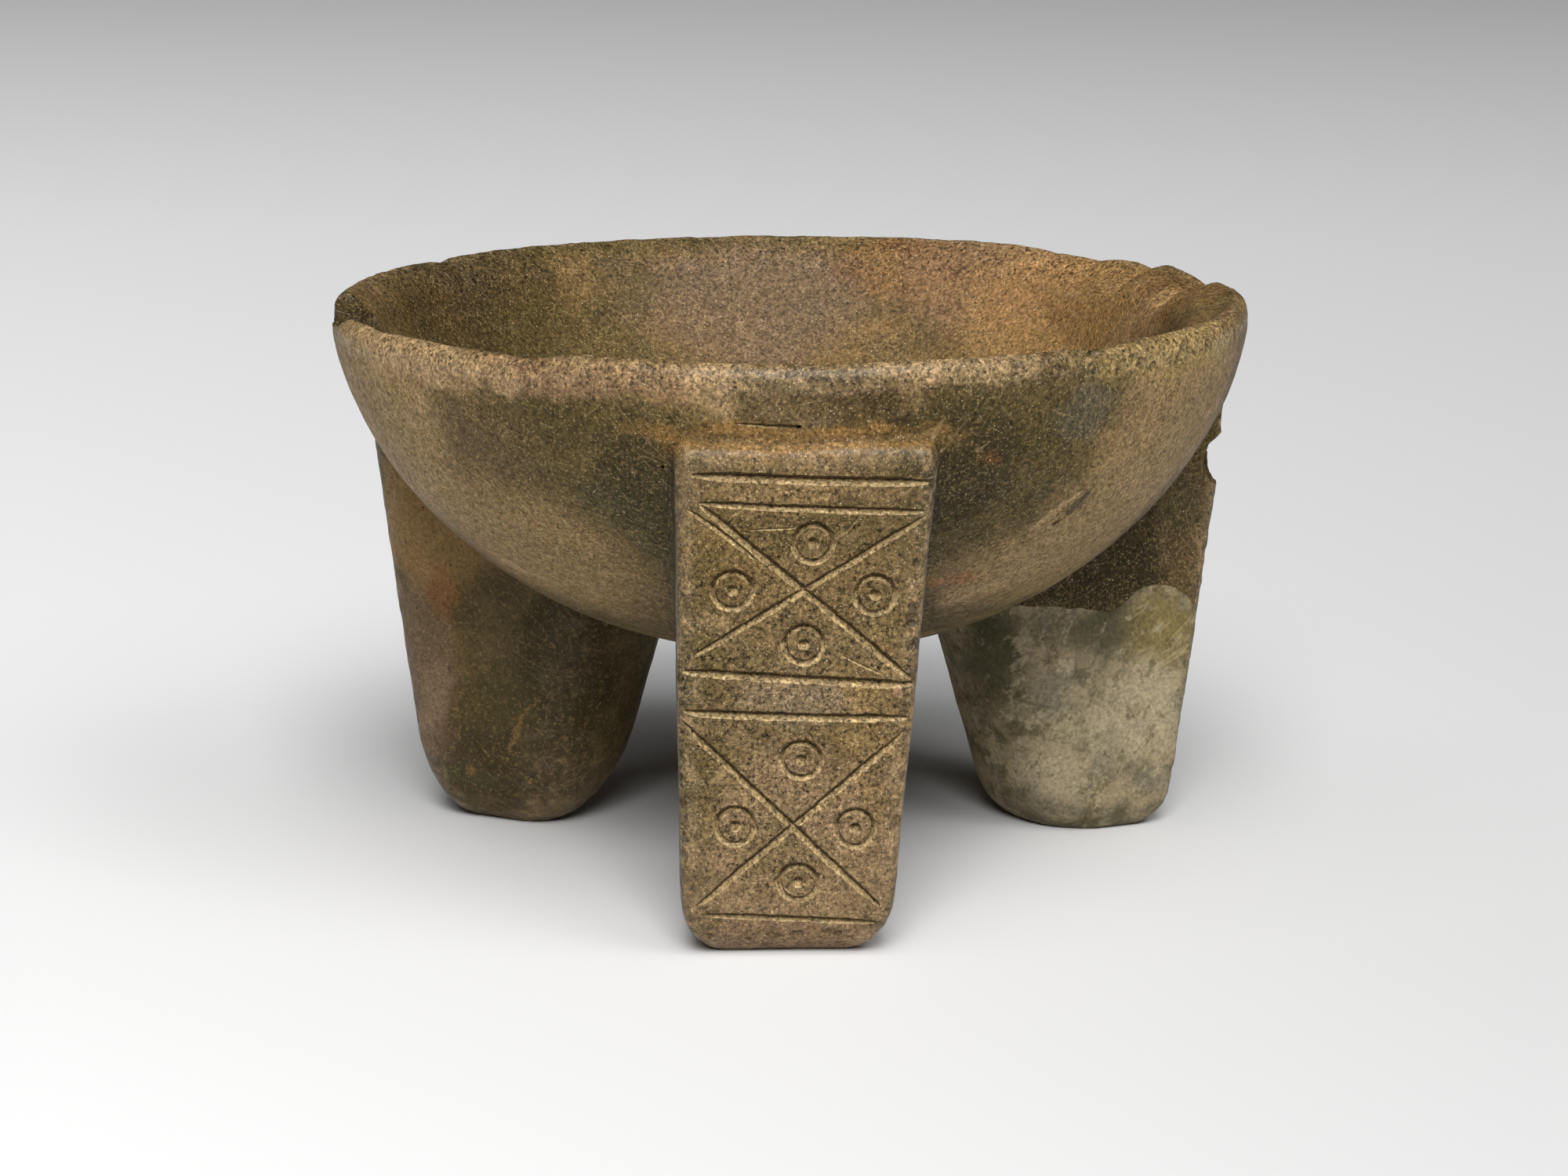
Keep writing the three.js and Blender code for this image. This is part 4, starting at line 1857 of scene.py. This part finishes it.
@dataclass(frozen=True)
class MendedStone:
    """The restored foot: a pale, brushed fill over a dark ground.

    Args:
        name: the material's name.
        base: its colour under all others.
        hatch: the colour of its fine parallel strokes.
    """

    name: str = "mended_stone"
    base: Colour = (0.135, 0.112, 0.066)
    hatch: Colour = (0.36, 0.29, 0.15)

    def make(self) -> bpy.types.Material:
        """Builds the material.

        Returns:
            The material.
        """
        s = Sketch(self.name)
        colour = self.base
        for mottle in MEND_GROUND:
            colour = mottle.lay(s, colour)
        colour = Stain.lay(s, colour, MEND_STAINS, 0.6)
        brushed = s.stretched((25, 40, 10), (1, 1, 1.8))
        for mottle in MEND_DAUBS:
            colour = mottle.lay(s, colour, brushed)
        colour = MEND_GREY.lay(s, colour)
        near = s.spot((63 * MM, 11 * MM, 36 * MM), (10 * MM, 14 * MM, 11 * MM), s.place)
        near = s.times(s.span(near, 0.1, 0.6), 0.7)
        for number, turn in enumerate(((90, 50, 25), (90, 62, 25))):
            strokes = s.hairs(2.4 * MM, 0.03, 0.5, turn, (number, 6, 5))
            colour = s.mix(s.times(strokes, near), colour, self.hatch)
        fine = s.noise(0.7 * MM, 3, 0.75, (5, 5, 5))
        colour = s.mix(1.0, colour, s.span(fine, 0.3, 0.7, (0.6, 1.4), False), "MULTIPLY")
        s.feed(s.shader.inputs["Base Color"], colour)
        s.shader.inputs["Roughness"].default_value = 0.6
        s.shader.inputs["Specular IOR Level"].default_value = 0.25
        bump = s.node("ShaderNodeBump", {"Height": fine, "Strength": 0.25, "Distance": 0.2 * MM})
        s.feed(s.shader.inputs["Normal"], bump.outputs[0])
        return s.material


@dataclass(frozen=True)
class Carving:
    """The sawn and drilled marks on a leg's outer face, drawn for the front leg.

    Args:
        lines: start and end, as aside and height, then width, depth and sag, in millimetres.
        rings: their middles, as aside and height, in millimetres.
    """

    lines: tuple[tuple[Flat, Flat, float, float, float], ...] = (
        ((-16.4, 77.0), (18.6, 75.7), 1.5, 1.2, 0.15),
        ((-15.4, 72.7), (17.9, 71.2), 1.2, 0.9, 0.15),
        ((-15.2, 72.4), (16.4, 45.1), 1.4, 1.0, 0.0),
        ((-17.2, 71.8), (-7.2, 64.0), 1.0, 0.6, -0.3),
        ((18.2, 70.5), (-16.2, 48.9), 1.2, 0.85, 0.0),
        ((-17.8, 46.5), (16.6, 44.3), 1.5, 1.2, 0.1),
        ((-17.7, 40.1), (15.9, 39.0), 1.4, 1.1, 0.25),
        ((-18.0, 38.4), (11.9, 8.6), 1.3, 0.9, 0.1),
        ((15.4, 36.6), (-15.9, 8.8), 1.3, 0.85, 0.1),
        ((-14.7, 7.2), (11.2, 5.7), 1.3, 0.9, 0.0),
    )
    rings: tuple[Flat, ...] = (
        (1.5, 66.5), (-10.5, 59.2), (10.8, 58.4), (0.2, 50.7),
        (-0.1, 32.4), (-10.1, 21.8), (8.1, 21.3), (-0.5, 12.6),
    )

    def carve(self, cutter: Cutter, leg: Leg, drawn_for: Leg, seed: int = 0) -> None:
        """Cuts the marks, fitted to the leg.

        Args:
            cutter: the tool, on the leg's outer face.
            leg: the leg that is carved.
            drawn_for: the leg that the marks are drawn for.
            seed: of the small irregularities.
        """

        def fit(place: Flat) -> Flat:
            """Fits a place on one leg's face to the other's.

            Args:
                place: aside and height on the leg it is drawn for, in millimetres.

            Returns:
                Aside and height on the carved leg, in metres.
            """
            aside, height = (length * MM for length in place)
            level = height / drawn_for.top * leg.top
            drawn = drawn_for.half(height) - drawn_for.outer_corner / 2
            across = (leg.half(level) - leg.outer_corner / 2) / drawn
            return leg.middle(level) + (aside - drawn_for.middle(height)) * across, level

        for number, (start, end, width, depth, sag) in enumerate(self.lines):
            sizes = (width * MM, depth * MM, sag * MM)
            line = SawCut(fit(start), fit(end), *sizes, seed=seed + number)
            line.carve(cutter, leg.up_face)
        for number, place in enumerate(self.rings):
            DrillRing(fit(place), seed=seed + number).carve(cutter, leg.up_face)


SCRATCHES = (
    ((5.9, 48.9), (11.6, 46.0), 0.45, 0.12, 0.0),
    ((11.5, 46.3), (13.5, 49.5), 0.4, 0.1, 0.0),
    ((-7.9, 68.5), (-0.6, 68.8), 0.4, 0.14, 0.0),
)

SPALLS = (
    Bite((-69.8, -9.0, 94.8), (7.8, 12.0, 5.4), (8, 0, 7), 0.7, 1),
    Bite((-75.6, -5.0, 91.0), (1.9, 8.0, 4.5), (0, 0, 5), 0.5, 2),
    Bite((-66.5, -7.0, 91.0), (3.4, 6.5, 3.6), (0, 0, 9), 0.6, 22),
)

LOSSES = (
    Bite((43.3, -49.6, 66.0), (1.9, 1.6, 0.42), (0, -48, 0), 0.25, 3),
    Bite((45.0, -50.1, 68.0), (2.6, 1.4, 0.34), (0, -58, 0), 0.2, 4),
    Bite((41.4, -49.6, 65.0), (1.2, 1.2, 0.40), (0, -20, 0), 0.2, 5),
    Bite((-22.4, -68.2, 75.2), (0.7, 1.0, 1.0), (0, 0, 0), 0.4, 6),
    Bite((-24.0, -66.9, 73.0), (0.6, 1.0, 0.6), (0, 0, 0), 0.35, 7),
    Bite((-22.2, -66.7, 72.0), (0.9, 1.0, 0.7), (0, 0, 0), 0.45, 8),
    Bite((-22.9, -65.3, 69.9), (1.0, 1.0, 0.5), (0, 20, 0), 0.4, 9),
    Bite((-18.9, -67.7, 77.5), (0.4, 0.9, 0.9), (0, 0, 0), 0.3, 10),
    Bite((26.2, -51.6, 56.6), (3.2, 1.0, 0.7), (0, -14, 0), 0.4, 11),
    Bite((30.0, -47.4, 54.9), (1.4, 1.3, 0.8), (0, 10, 0), 0.5, 12),
    Bite((21.0, -53.6, 56.2), (1.5, 1.0, 0.5), (0, 0, 0), 0.35, 13),
    Bite((18.6, -71.0, 50.4), (0.8, 1.0, 1.6), (0, 0, 0), 0.45, 14),
    Bite((18.0, -71.0, 46.2), (0.8, 0.8, 1.3), (0, 0, 0), 0.4, 15),
    Bite((16.6, -70.0, 36.5), (0.7, 0.8, 1.0), (0, 0, 0), 0.3, 16),
    Bite((16.4, -68.6, 24.6), (0.8, 1.0, 1.3), (0, 0, 0), 0.3, 17),
    Bite((-19.2, -69.5, 33.0), (0.8, 1.0, 2.0), (0, 0, 0), 0.4, 18),
    Bite((-18.6, -68.2, 16.0), (0.8, 1.0, 1.6), (0, 0, 0), 0.4, 19),
    Bite((75.4, 9.6, 64.0), (6.2, 8.5, 5.2), (0, 0, 24), 0.5, 20),
    Bite((77.0, 9.0, 71.5), (4.3, 8.5, 9.5), (0, 0, 24), 0.6, 23),
    Bite((-8.0, -74.6, 84.6), (1.1, 1.2, 0.7), (0, -30, 0), 0.3, 21),
)

RIGHT_LIP = ((33, -65, 91.5), (52, -52.5, 91.5), (62, -41, 91.5), (70, -26, 91.5))
CRUMBS = (
    Crumbs(RIGHT_LIP, 56, (0.35, 1.05), 2.2, 100),
    Crumbs(((19, -73, 66), (18, -72, 44), (17, -69.5, 16)), 16, (0.4, 1.0), 0.6, 200),
    Crumbs(((-19, -73, 60), (-18.5, -71, 36), (-18, -68, 10)), 14, (0.4, 0.9), 0.6, 300),
    Crumbs(((-14, -66, 2.5), (12, -66, 2.5)), 10, (0.4, 1.1), 0.8, 400),
    Crumbs(((-62, -38, 92), (-42, -59, 92), (-20, -71, 92)), 18, (0.4, 0.9), 1.4, 500),
)


@dataclass
class Vessel:
    """The whole vessel: one worn block, parted into its named pieces.

    Args:
        basin: the bowl's sizes.
        legs: the three legs, the front one first.
        dips: worn places on the lip.
        creases: sharp nicks between the lip's worn lobes.
        margin: how far past a leg its own piece reaches.
        skin: how deep under the bowl's surface a leg's piece reaches there.
        panel: the flat above the front ledge: its middle, half lengths and turn, in millimetres.
        broad: where the lip is broad inside: its middle and half angle, in degrees from +X.
        broad_place: radius and height of the middle of that thicker wall, in millimetres.
        broad_section: its outline there, as outwards and up, in millimetres.
        lumps: size and height of the worn surface's unevenness, in millimetres.
        edge_lumps: the same on the edges that stand out.
        groove: the groove in the wall: its start, end, width, depth, sag and run-out.
        groove_seed: of its small irregularities.
        most_faces: a piece with more triangles than this is thinned.
        block: the stone that the pieces are parted from, once it is roughed out.
        pieces: the finished pieces, by the node of the CAD that each replaces.
    """

    basin: Basin
    legs: tuple[Leg, Leg, Leg]
    dips: tuple[Dip, ...] = (
        Dip(45, 1.0 * MM, 15 * MM),
        Dip(34, 0.5 * MM, 10 * MM),
        Dip(19, 0.9 * MM, 10 * MM),
        Dip(0, -0.3 * MM, 12 * MM),
        Dip(118, -0.15 * MM, 40 * MM),
        Dip(-49, 0.6 * MM, 10 * MM),
        Dip(-91, 0.3 * MM, 16 * MM),
        Dip(-123, 1.1 * MM, 10 * MM),
        Dip(-134, 1.0 * MM, 18 * MM),
        Dip(-152, 1.2 * MM, 18 * MM),
        Dip(-165, 1.4 * MM, 11 * MM),
    )
    creases: tuple[Dip, ...] = (
        Dip(15, 2.1 * MM, 5.5 * MM, Falloff.CREASED),
        Dip(31, 0.9 * MM, 5 * MM, Falloff.CREASED),
        Dip(41.5, 0.5 * MM, 5 * MM, Falloff.CREASED),
        Dip(50, 0.3 * MM, 4 * MM, Falloff.CREASED),
        Dip(146, 0.5 * MM, 4 * MM, Falloff.CREASED),
    )
    margin: float = 2.4 * MM
    skin: float = 1.5 * MM
    panel: tuple[Place, Place, Place] = ((8.6, -76.1, 84.4), (14.5, 3.0, 4.6), (2.5, 0, 6.5))
    broad: Flat = (6, 50)
    broad_place: Flat = (70, 84)
    broad_section: tuple[Flat, ...] = (
        (1.6, 9.3), (-1, 9), (-4, 8.1), (-6.6, 5.9), (-9, 1.5),
        (-11, -4), (-12.2, -9), (-12.4, -12), (-6, -12), (1.5, 1),
    )
    lumps: tuple[Flat, ...] = ((24, 0.45), (6, 0.22))
    edge_lumps: Flat = (2.4, 0.35)
    groove: tuple[Flat, Flat, float, float, float, float] = (
        (-7.8, 84.5), (9.5, 83.7), 0.9, 0.6, 0.1, 7
    )
    groove_seed: int = 60
    most_faces: int = 190_000
    block: Optional[bpy.types.Object] = None
    pieces: dict[str, bpy.types.Object] = field(default_factory=dict)

    def rough_out(self) -> None:
        """Joins bowl and legs into one block, dresses its front wall and hollows it."""
        self.block = self.basin.solid()
        place, half, turn = self.panel
        Bench.clear()
        bpy.ops.mesh.primitive_cube_add(size=2)
        flat = Bench.new("panel")
        flat.scale = [length * MM for length in half]
        flat.rotation_euler = [math.radians(angle) for angle in turn]
        flat.location = [length * MM for length in place]
        Bench.settle(flat)
        Bench.combine(self.block, flat, Join.CUT)
        for leg in self.legs:
            Bench.combine(self.block, leg.solid(), Join.ADD)
        Bench.combine(self.block, self.basin.cavity(), Join.CUT)
        Bench.combine(self.block, self.bolster(), Join.ADD)
        Bench.apply(self.block, "REMESH", mode="VOXEL", voxel_size=GRAIN)

    def bolster(self) -> bpy.types.Object:
        """Shapes the thicker wall inside the right end of the lip.

        Returns:
            A solid that fades into the wall at both ends.
        """
        middle, half = self.broad
        radius, height = (length * MM for length in self.broad_place)
        steps, thin = 24, 0.25  # thin: its size at both ends, as a share
        path, swell = [], []
        for step in range(steps + 1):
            share = 2 * step / steps - 1
            angle = math.radians(middle + half * share)
            out, aside = radius * math.cos(angle), radius * math.sin(angle)
            path.append(Vector((out, aside, height)))
            swell.append(thin + (1 - thin) * math.cos(math.pi / 2 * share) ** 0.6)
        section = [(across * MM, up * MM) for across, up in self.broad_section]
        return Bench.sweep("bolster", path, section, swell)

    def wear(self) -> Relief:
        """Wears the lip, softens the block and gives it its uneven surface.

        Returns:
            The worn block's edges and hollows.
        """
        with Bench.editing(self.block):
            for dip in self.dips:
                dip.wear(self.block, self.basin)
        Bench.apply(self.block, "SMOOTH", factor=0.5, iterations=6)
        with Bench.editing(self.block):
            for crease in self.creases:
                crease.wear(self.block, self.basin)
        for lump, height in self.lumps:
            Bench.roughen(self.block, lump * MM, height * MM)
        relief = Relief(self.block)
        relief.edges(self.block, "edges")
        lump, height = self.edge_lumps
        Bench.roughen(self.block, lump * MM, height * MM, group="edges")
        return relief

    def grind_soles(self) -> None:
        """Cuts the block flat at the floor."""
        reach = 3 * self.basin.rim_radius
        Bench.clear()
        bpy.ops.mesh.primitive_cube_add(size=1, location=(0, 0, -self.basin.height / 2))
        slab = Bench.new("grindstone")
        slab.scale = (reach, reach, self.basin.height)
        Bench.settle(slab)
        Bench.combine(self.block, slab, Join.CUT)

    def part(self) -> None:
        """Parts the worn block into the bowl and its legs."""
        core = self.basin.core(self.skin)
        for leg in self.legs:
            zone = leg.zone(self.margin)
            Bench.combine(zone, core, Join.CUT, keep=True)
            piece = Bench.copy(self.block, "carved_" + leg.name)
            Bench.combine(piece, zone, Join.KEEP_SHARED, keep=True)
            Bench.combine(self.block, zone, Join.CUT)
            self.pieces[leg.name] = piece
        Bench.discard(core)
        self.block.name = "carved_bowl"
        self.pieces["bowl"] = self.block

    def mend(self, finish: bpy.types.Material, bed: bpy.types.Material) -> None:
        """Parts the restored foot from the right leg.

        Args:
            finish: what the restored foot looks like.
            bed: what the broken stone looks like inside.
        """
        right = self.legs[2]
        below = Break(right).below()
        below.data.materials.append(bed)
        foot = Bench.copy(self.pieces[right.name], "mended_foot")
        Bench.combine(foot, below, Join.KEEP_SHARED, keep=True)
        foot.data.materials.clear()
        foot.data.materials.append(finish)
        Bench.combine(self.pieces[right.name], below, Join.CUT)
        self.pieces["right_leg_foot"] = foot

    def engrave(self, bed: bpy.types.Material) -> None:
        """Saws and drills the marks into the legs' outer faces, and one groove into the wall.

        Args:
            bed: what the cut stone looks like.
        """
        front, left, right = self.legs
        cutter = Cutter(self.pieces[front.name], front.face(), bed)
        Carving().carve(cutter, front, front)
        for number, (start, end, width, depth, sag) in enumerate(SCRATCHES):
            first, last = (tuple(length * MM for length in place) for place in (start, end))
            scratch = SawCut(first, last, width * MM, depth * MM, sag * MM, 2 * MM, number)
            scratch.carve(cutter, front.up_face)
        cutter.cut()
        for leg, seed in ((left, 20), (right, 40)):
            cutter = Cutter(self.pieces[leg.name], leg.face(), bed)
            Carving().carve(cutter, leg, front, seed=seed)
            cutter.cut()
        self.saw_groove(bed)

    def saw_groove(self, bed: bpy.types.Material) -> None:
        """Saws the groove into the wall above the front ledge.

        Args:
            bed: what the cut stone looks like.
        """
        back = -self.basin.rim_radius
        wall = Matrix(((1, 0, 0, 0), (0, 0, -1, back), (0, 1, 0, 0), (0, 0, 0, 1)))
        start, end, *sizes = self.groove
        first, last = (tuple(length * MM for length in place) for place in (start, end))
        groove = SawCut(first, last, *(size * MM for size in sizes), seed=self.groove_seed)
        cutter = Cutter(self.pieces["bowl"], wall, bed)
        groove.carve(cutter, lambda height: height)
        cutter.cut()

    def finish(self, relief: Relief) -> None:
        """Shades the pieces, ties them to the frame and reports them.

        Args:
            relief: the worn block's measured edges and hollows.
        """
        slots = {
            "bowl": "stone",
            "front_leg": "stone",
            "left_leg": "dark_stone",
            "right_leg": "dark_stone",
        }
        for node, piece in self.pieces.items():
            piece.vertex_groups.clear()
            faces = Bench.triangles(piece)
            if faces > self.most_faces:
                Bench.apply(piece, "DECIMATE", ratio=self.most_faces / faces)
            relief.give(piece)
            Bench.hold(piece)
            bpy.ops.object.shade_smooth_by_angle(angle=math.radians(SHARP))
            slot = slots.get(node, "mended_stone")
            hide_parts(node)
            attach(piece, BODY)
            log.info("%s: %d triangles, slot %s", piece.name, Bench.triangles(piece), slot)


@dataclass
class Studio:
    """Floor, lamps and camera.

    Args:
        eye: the camera's place.
        pitch: how far it looks down, in degrees.
        lens: its focal length, in millimetres on a 36 mm film.
        distance: from the bowl to each lamp, in metres.
        side: each lamp's width and height, in metres.
        lamps: name, degrees from +X, degrees over the floor and watts of each lamp.
        surroundings: the even light from all around.
        tiles: width of the floor, in metres.
        across: aside as a share of the distance, and the floor's brightness there.
        along: metres behind the bowl's axis, and by how much the brightness is changed there.
        beyond: the same far behind the bowl.
    """

    eye: Place = (-0.9 * MM, -700 * MM, 193.1 * MM)
    pitch: float = 12.01
    lens: float = 98.9
    distance: float = 6.0
    side: float = 2.6
    lamps: tuple[tuple[str, float, float, float], ...] = (
        ("key_low", -90, 40, 355),
        ("key_high", -90, 62, 124),
        ("right_front", -45, 40, 67),
        ("right_high", -45, 62, 18),
        ("left_front", -142, 60, 27),
        ("right_low", -30, 52, 40),
    )
    surroundings: float = 0.02
    tiles: float = 12
    across: tuple[Flat, Flat] = ((-0.18, 0.18), (0.85, 0.69))
    along: tuple[Flat, Flat] = ((-0.22, -0.04), (1.0, 0.94))
    beyond: tuple[Flat, Flat] = ((0.8, 2.0), (1.0, 0.84))

    def camera(self) -> None:
        """Sets up the camera at the photograph's viewing angle."""
        data = bpy.data.cameras.new("camera")
        data.lens = self.lens
        data.sensor_width = 36
        camera = bpy.data.objects.new("camera", data)
        camera.location = self.eye
        camera.rotation_euler = (math.radians(90 - self.pitch), 0, 0)
        bpy.context.scene.collection.objects.link(camera)
        bpy.context.scene.camera = camera

    def lamp(self, name: str, azimuth: float, height: float, power: float) -> None:
        """Adds a soft square lamp, far enough off to light the whole floor.

        Args:
            name: the lamp's name.
            azimuth: where it stands, in degrees from +X.
            height: how high it stands over the floor, in degrees.
            power: in watts.
        """
        data = bpy.data.lights.new(name, "AREA")
        data.size = self.side
        data.energy = power
        lamp = bpy.data.objects.new(name, data)
        around, up = math.radians(azimuth), math.radians(height)
        level = math.cos(up)
        towards = Vector((math.cos(around) * level, math.sin(around) * level, math.sin(up)))
        lamp.location = self.distance * towards
        lamp.rotation_euler = (-towards).to_track_quat("-Z", "Y").to_euler()
        bpy.context.scene.collection.objects.link(lamp)

    def lights(self) -> None:
        """Hangs the lamps and sets the surroundings' level."""
        for lamp in self.lamps:
            self.lamp(*lamp)
        world = bpy.data.worlds.new("surroundings")
        world.use_nodes = True
        background = world.node_tree.nodes["Background"].inputs
        background["Color"].default_value = (1, 1, 1, 1)
        background["Strength"].default_value = self.surroundings
        bpy.context.scene.world = world
        bpy.context.scene.view_settings.view_transform = "Standard"

    def floor(self) -> None:
        """Lays a plain pale floor whose colour darkens a little towards the back and to the right,
        as painted falloff of the light.
        """
        Bench.clear()
        bpy.ops.mesh.primitive_plane_add(size=self.tiles)
        floor = Bench.new("floor")
        s = Sketch("floor")
        aside, back, _ = s.node("ShaderNodeSeparateXYZ", {0: s.place}).outputs
        away = s.plus(back, -self.eye[1])
        slant = s.calculate("DIVIDE", aside, away)
        # painted falloff of the light: the floor's colour darkens to the right and far behind
        (here, there), levels = self.across
        level = s.span(slant, here, there, levels, False)
        (here, there), levels = self.beyond
        level = s.times(level, s.span(back, here, there, levels, False))
        (here, there), levels = self.along
        level = s.times(level, s.span(back, here, there, levels))
        grey = s.node("ShaderNodeCombineColor", {0: level, 1: level, 2: level}).outputs[0]
        s.feed(s.shader.inputs["Base Color"], grey)
        s.shader.inputs["Roughness"].default_value = 0.7
        floor.data.materials.append(s.material)


def main() -> None:
    """Builds the vessel and the studio, and reports each piece."""
    logging.basicConfig(level=logging.INFO, format="%(name)s: %(message)s")
    _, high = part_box("bowl")
    basin = Basin(rim_radius=high.x - ROOM, height=high.z - ROOM)
    front = Leg(
        "front_leg", azimuth=-88.5, top=high.z - 12.5 * MM, rim_radius=high.x,
        reach=Ends(9.1 * MM, 0.4 * MM), depth=Ends(28.5 * MM, 60 * MM),
        width=Ends(32 * MM, 39.6 * MM), lean=Ends(-2.4 * MM, 0.6 * MM),
        outer_corner=2.2 * MM, inner_corner=14 * MM, sole=(9.8 * MM, 7.8 * MM),
    )
    left = Leg(
        "left_leg", azimuth=154, top=high.z - 17 * MM, rim_radius=high.x,
        reach=Ends(9.7 * MM, 2.7 * MM), depth=Ends(30.5 * MM, 56.8 * MM),
        width=Ends(22.6 * MM, 40.9 * MM), lean=Ends(2.1 * MM, -0.2 * MM),
        outer_corner=7.5 * MM, inner_corner=12.2 * MM,
        sole=(17 * MM, 9.6 * MM), sole_shift=1.5 * MM,
    )
    right = Leg(
        "right_leg", azimuth=24, top=high.z - 17 * MM, rim_radius=high.x,
        reach=Ends(10.4 * MM, 2.5 * MM), depth=Ends(24.7 * MM, 55.7 * MM),
        width=Ends(33.2 * MM, 40.7 * MM), lean=Ends(1.5 * MM, -0.8 * MM),
        outer_corner=2.5 * MM, inner_corner=16.4 * MM, sole=(7 * MM, 5.4 * MM),
    )
    stone = CarvedStone().make()
    # cut stone with painted light and shade on its groove walls
    lit_cut_stone = CarvedStone("lit_cut_stone", fresh_and_lit=0.62).make()
    broken_stone = CarvedStone("broken_stone", bed_darkening=0.4).make()
    spalled_stone = CarvedStone("spalled_stone", bed_darkening=0.78).make()
    mended_stone = MendedStone().make()

    vessel = Vessel(basin, (front, left, right))
    vessel.rough_out()
    relief = vessel.wear()
    vessel.block.data.materials.clear()
    vessel.block.data.materials.append(stone)
    crumbs = [bite for edge in CRUMBS for bite in edge.bites(vessel.block)]
    Bite.lose(vessel.block, SPALLS, spalled_stone)
    Bite.lose(vessel.block, [*LOSSES, *crumbs], broken_stone)
    vessel.grind_soles()
    vessel.part()
    vessel.engrave(lit_cut_stone)
    vessel.mend(mended_stone, broken_stone)
    vessel.finish(relief)

    studio = Studio()
    studio.camera()
    studio.lights()
    studio.floor()


if __name__ == "__main__":
    main()
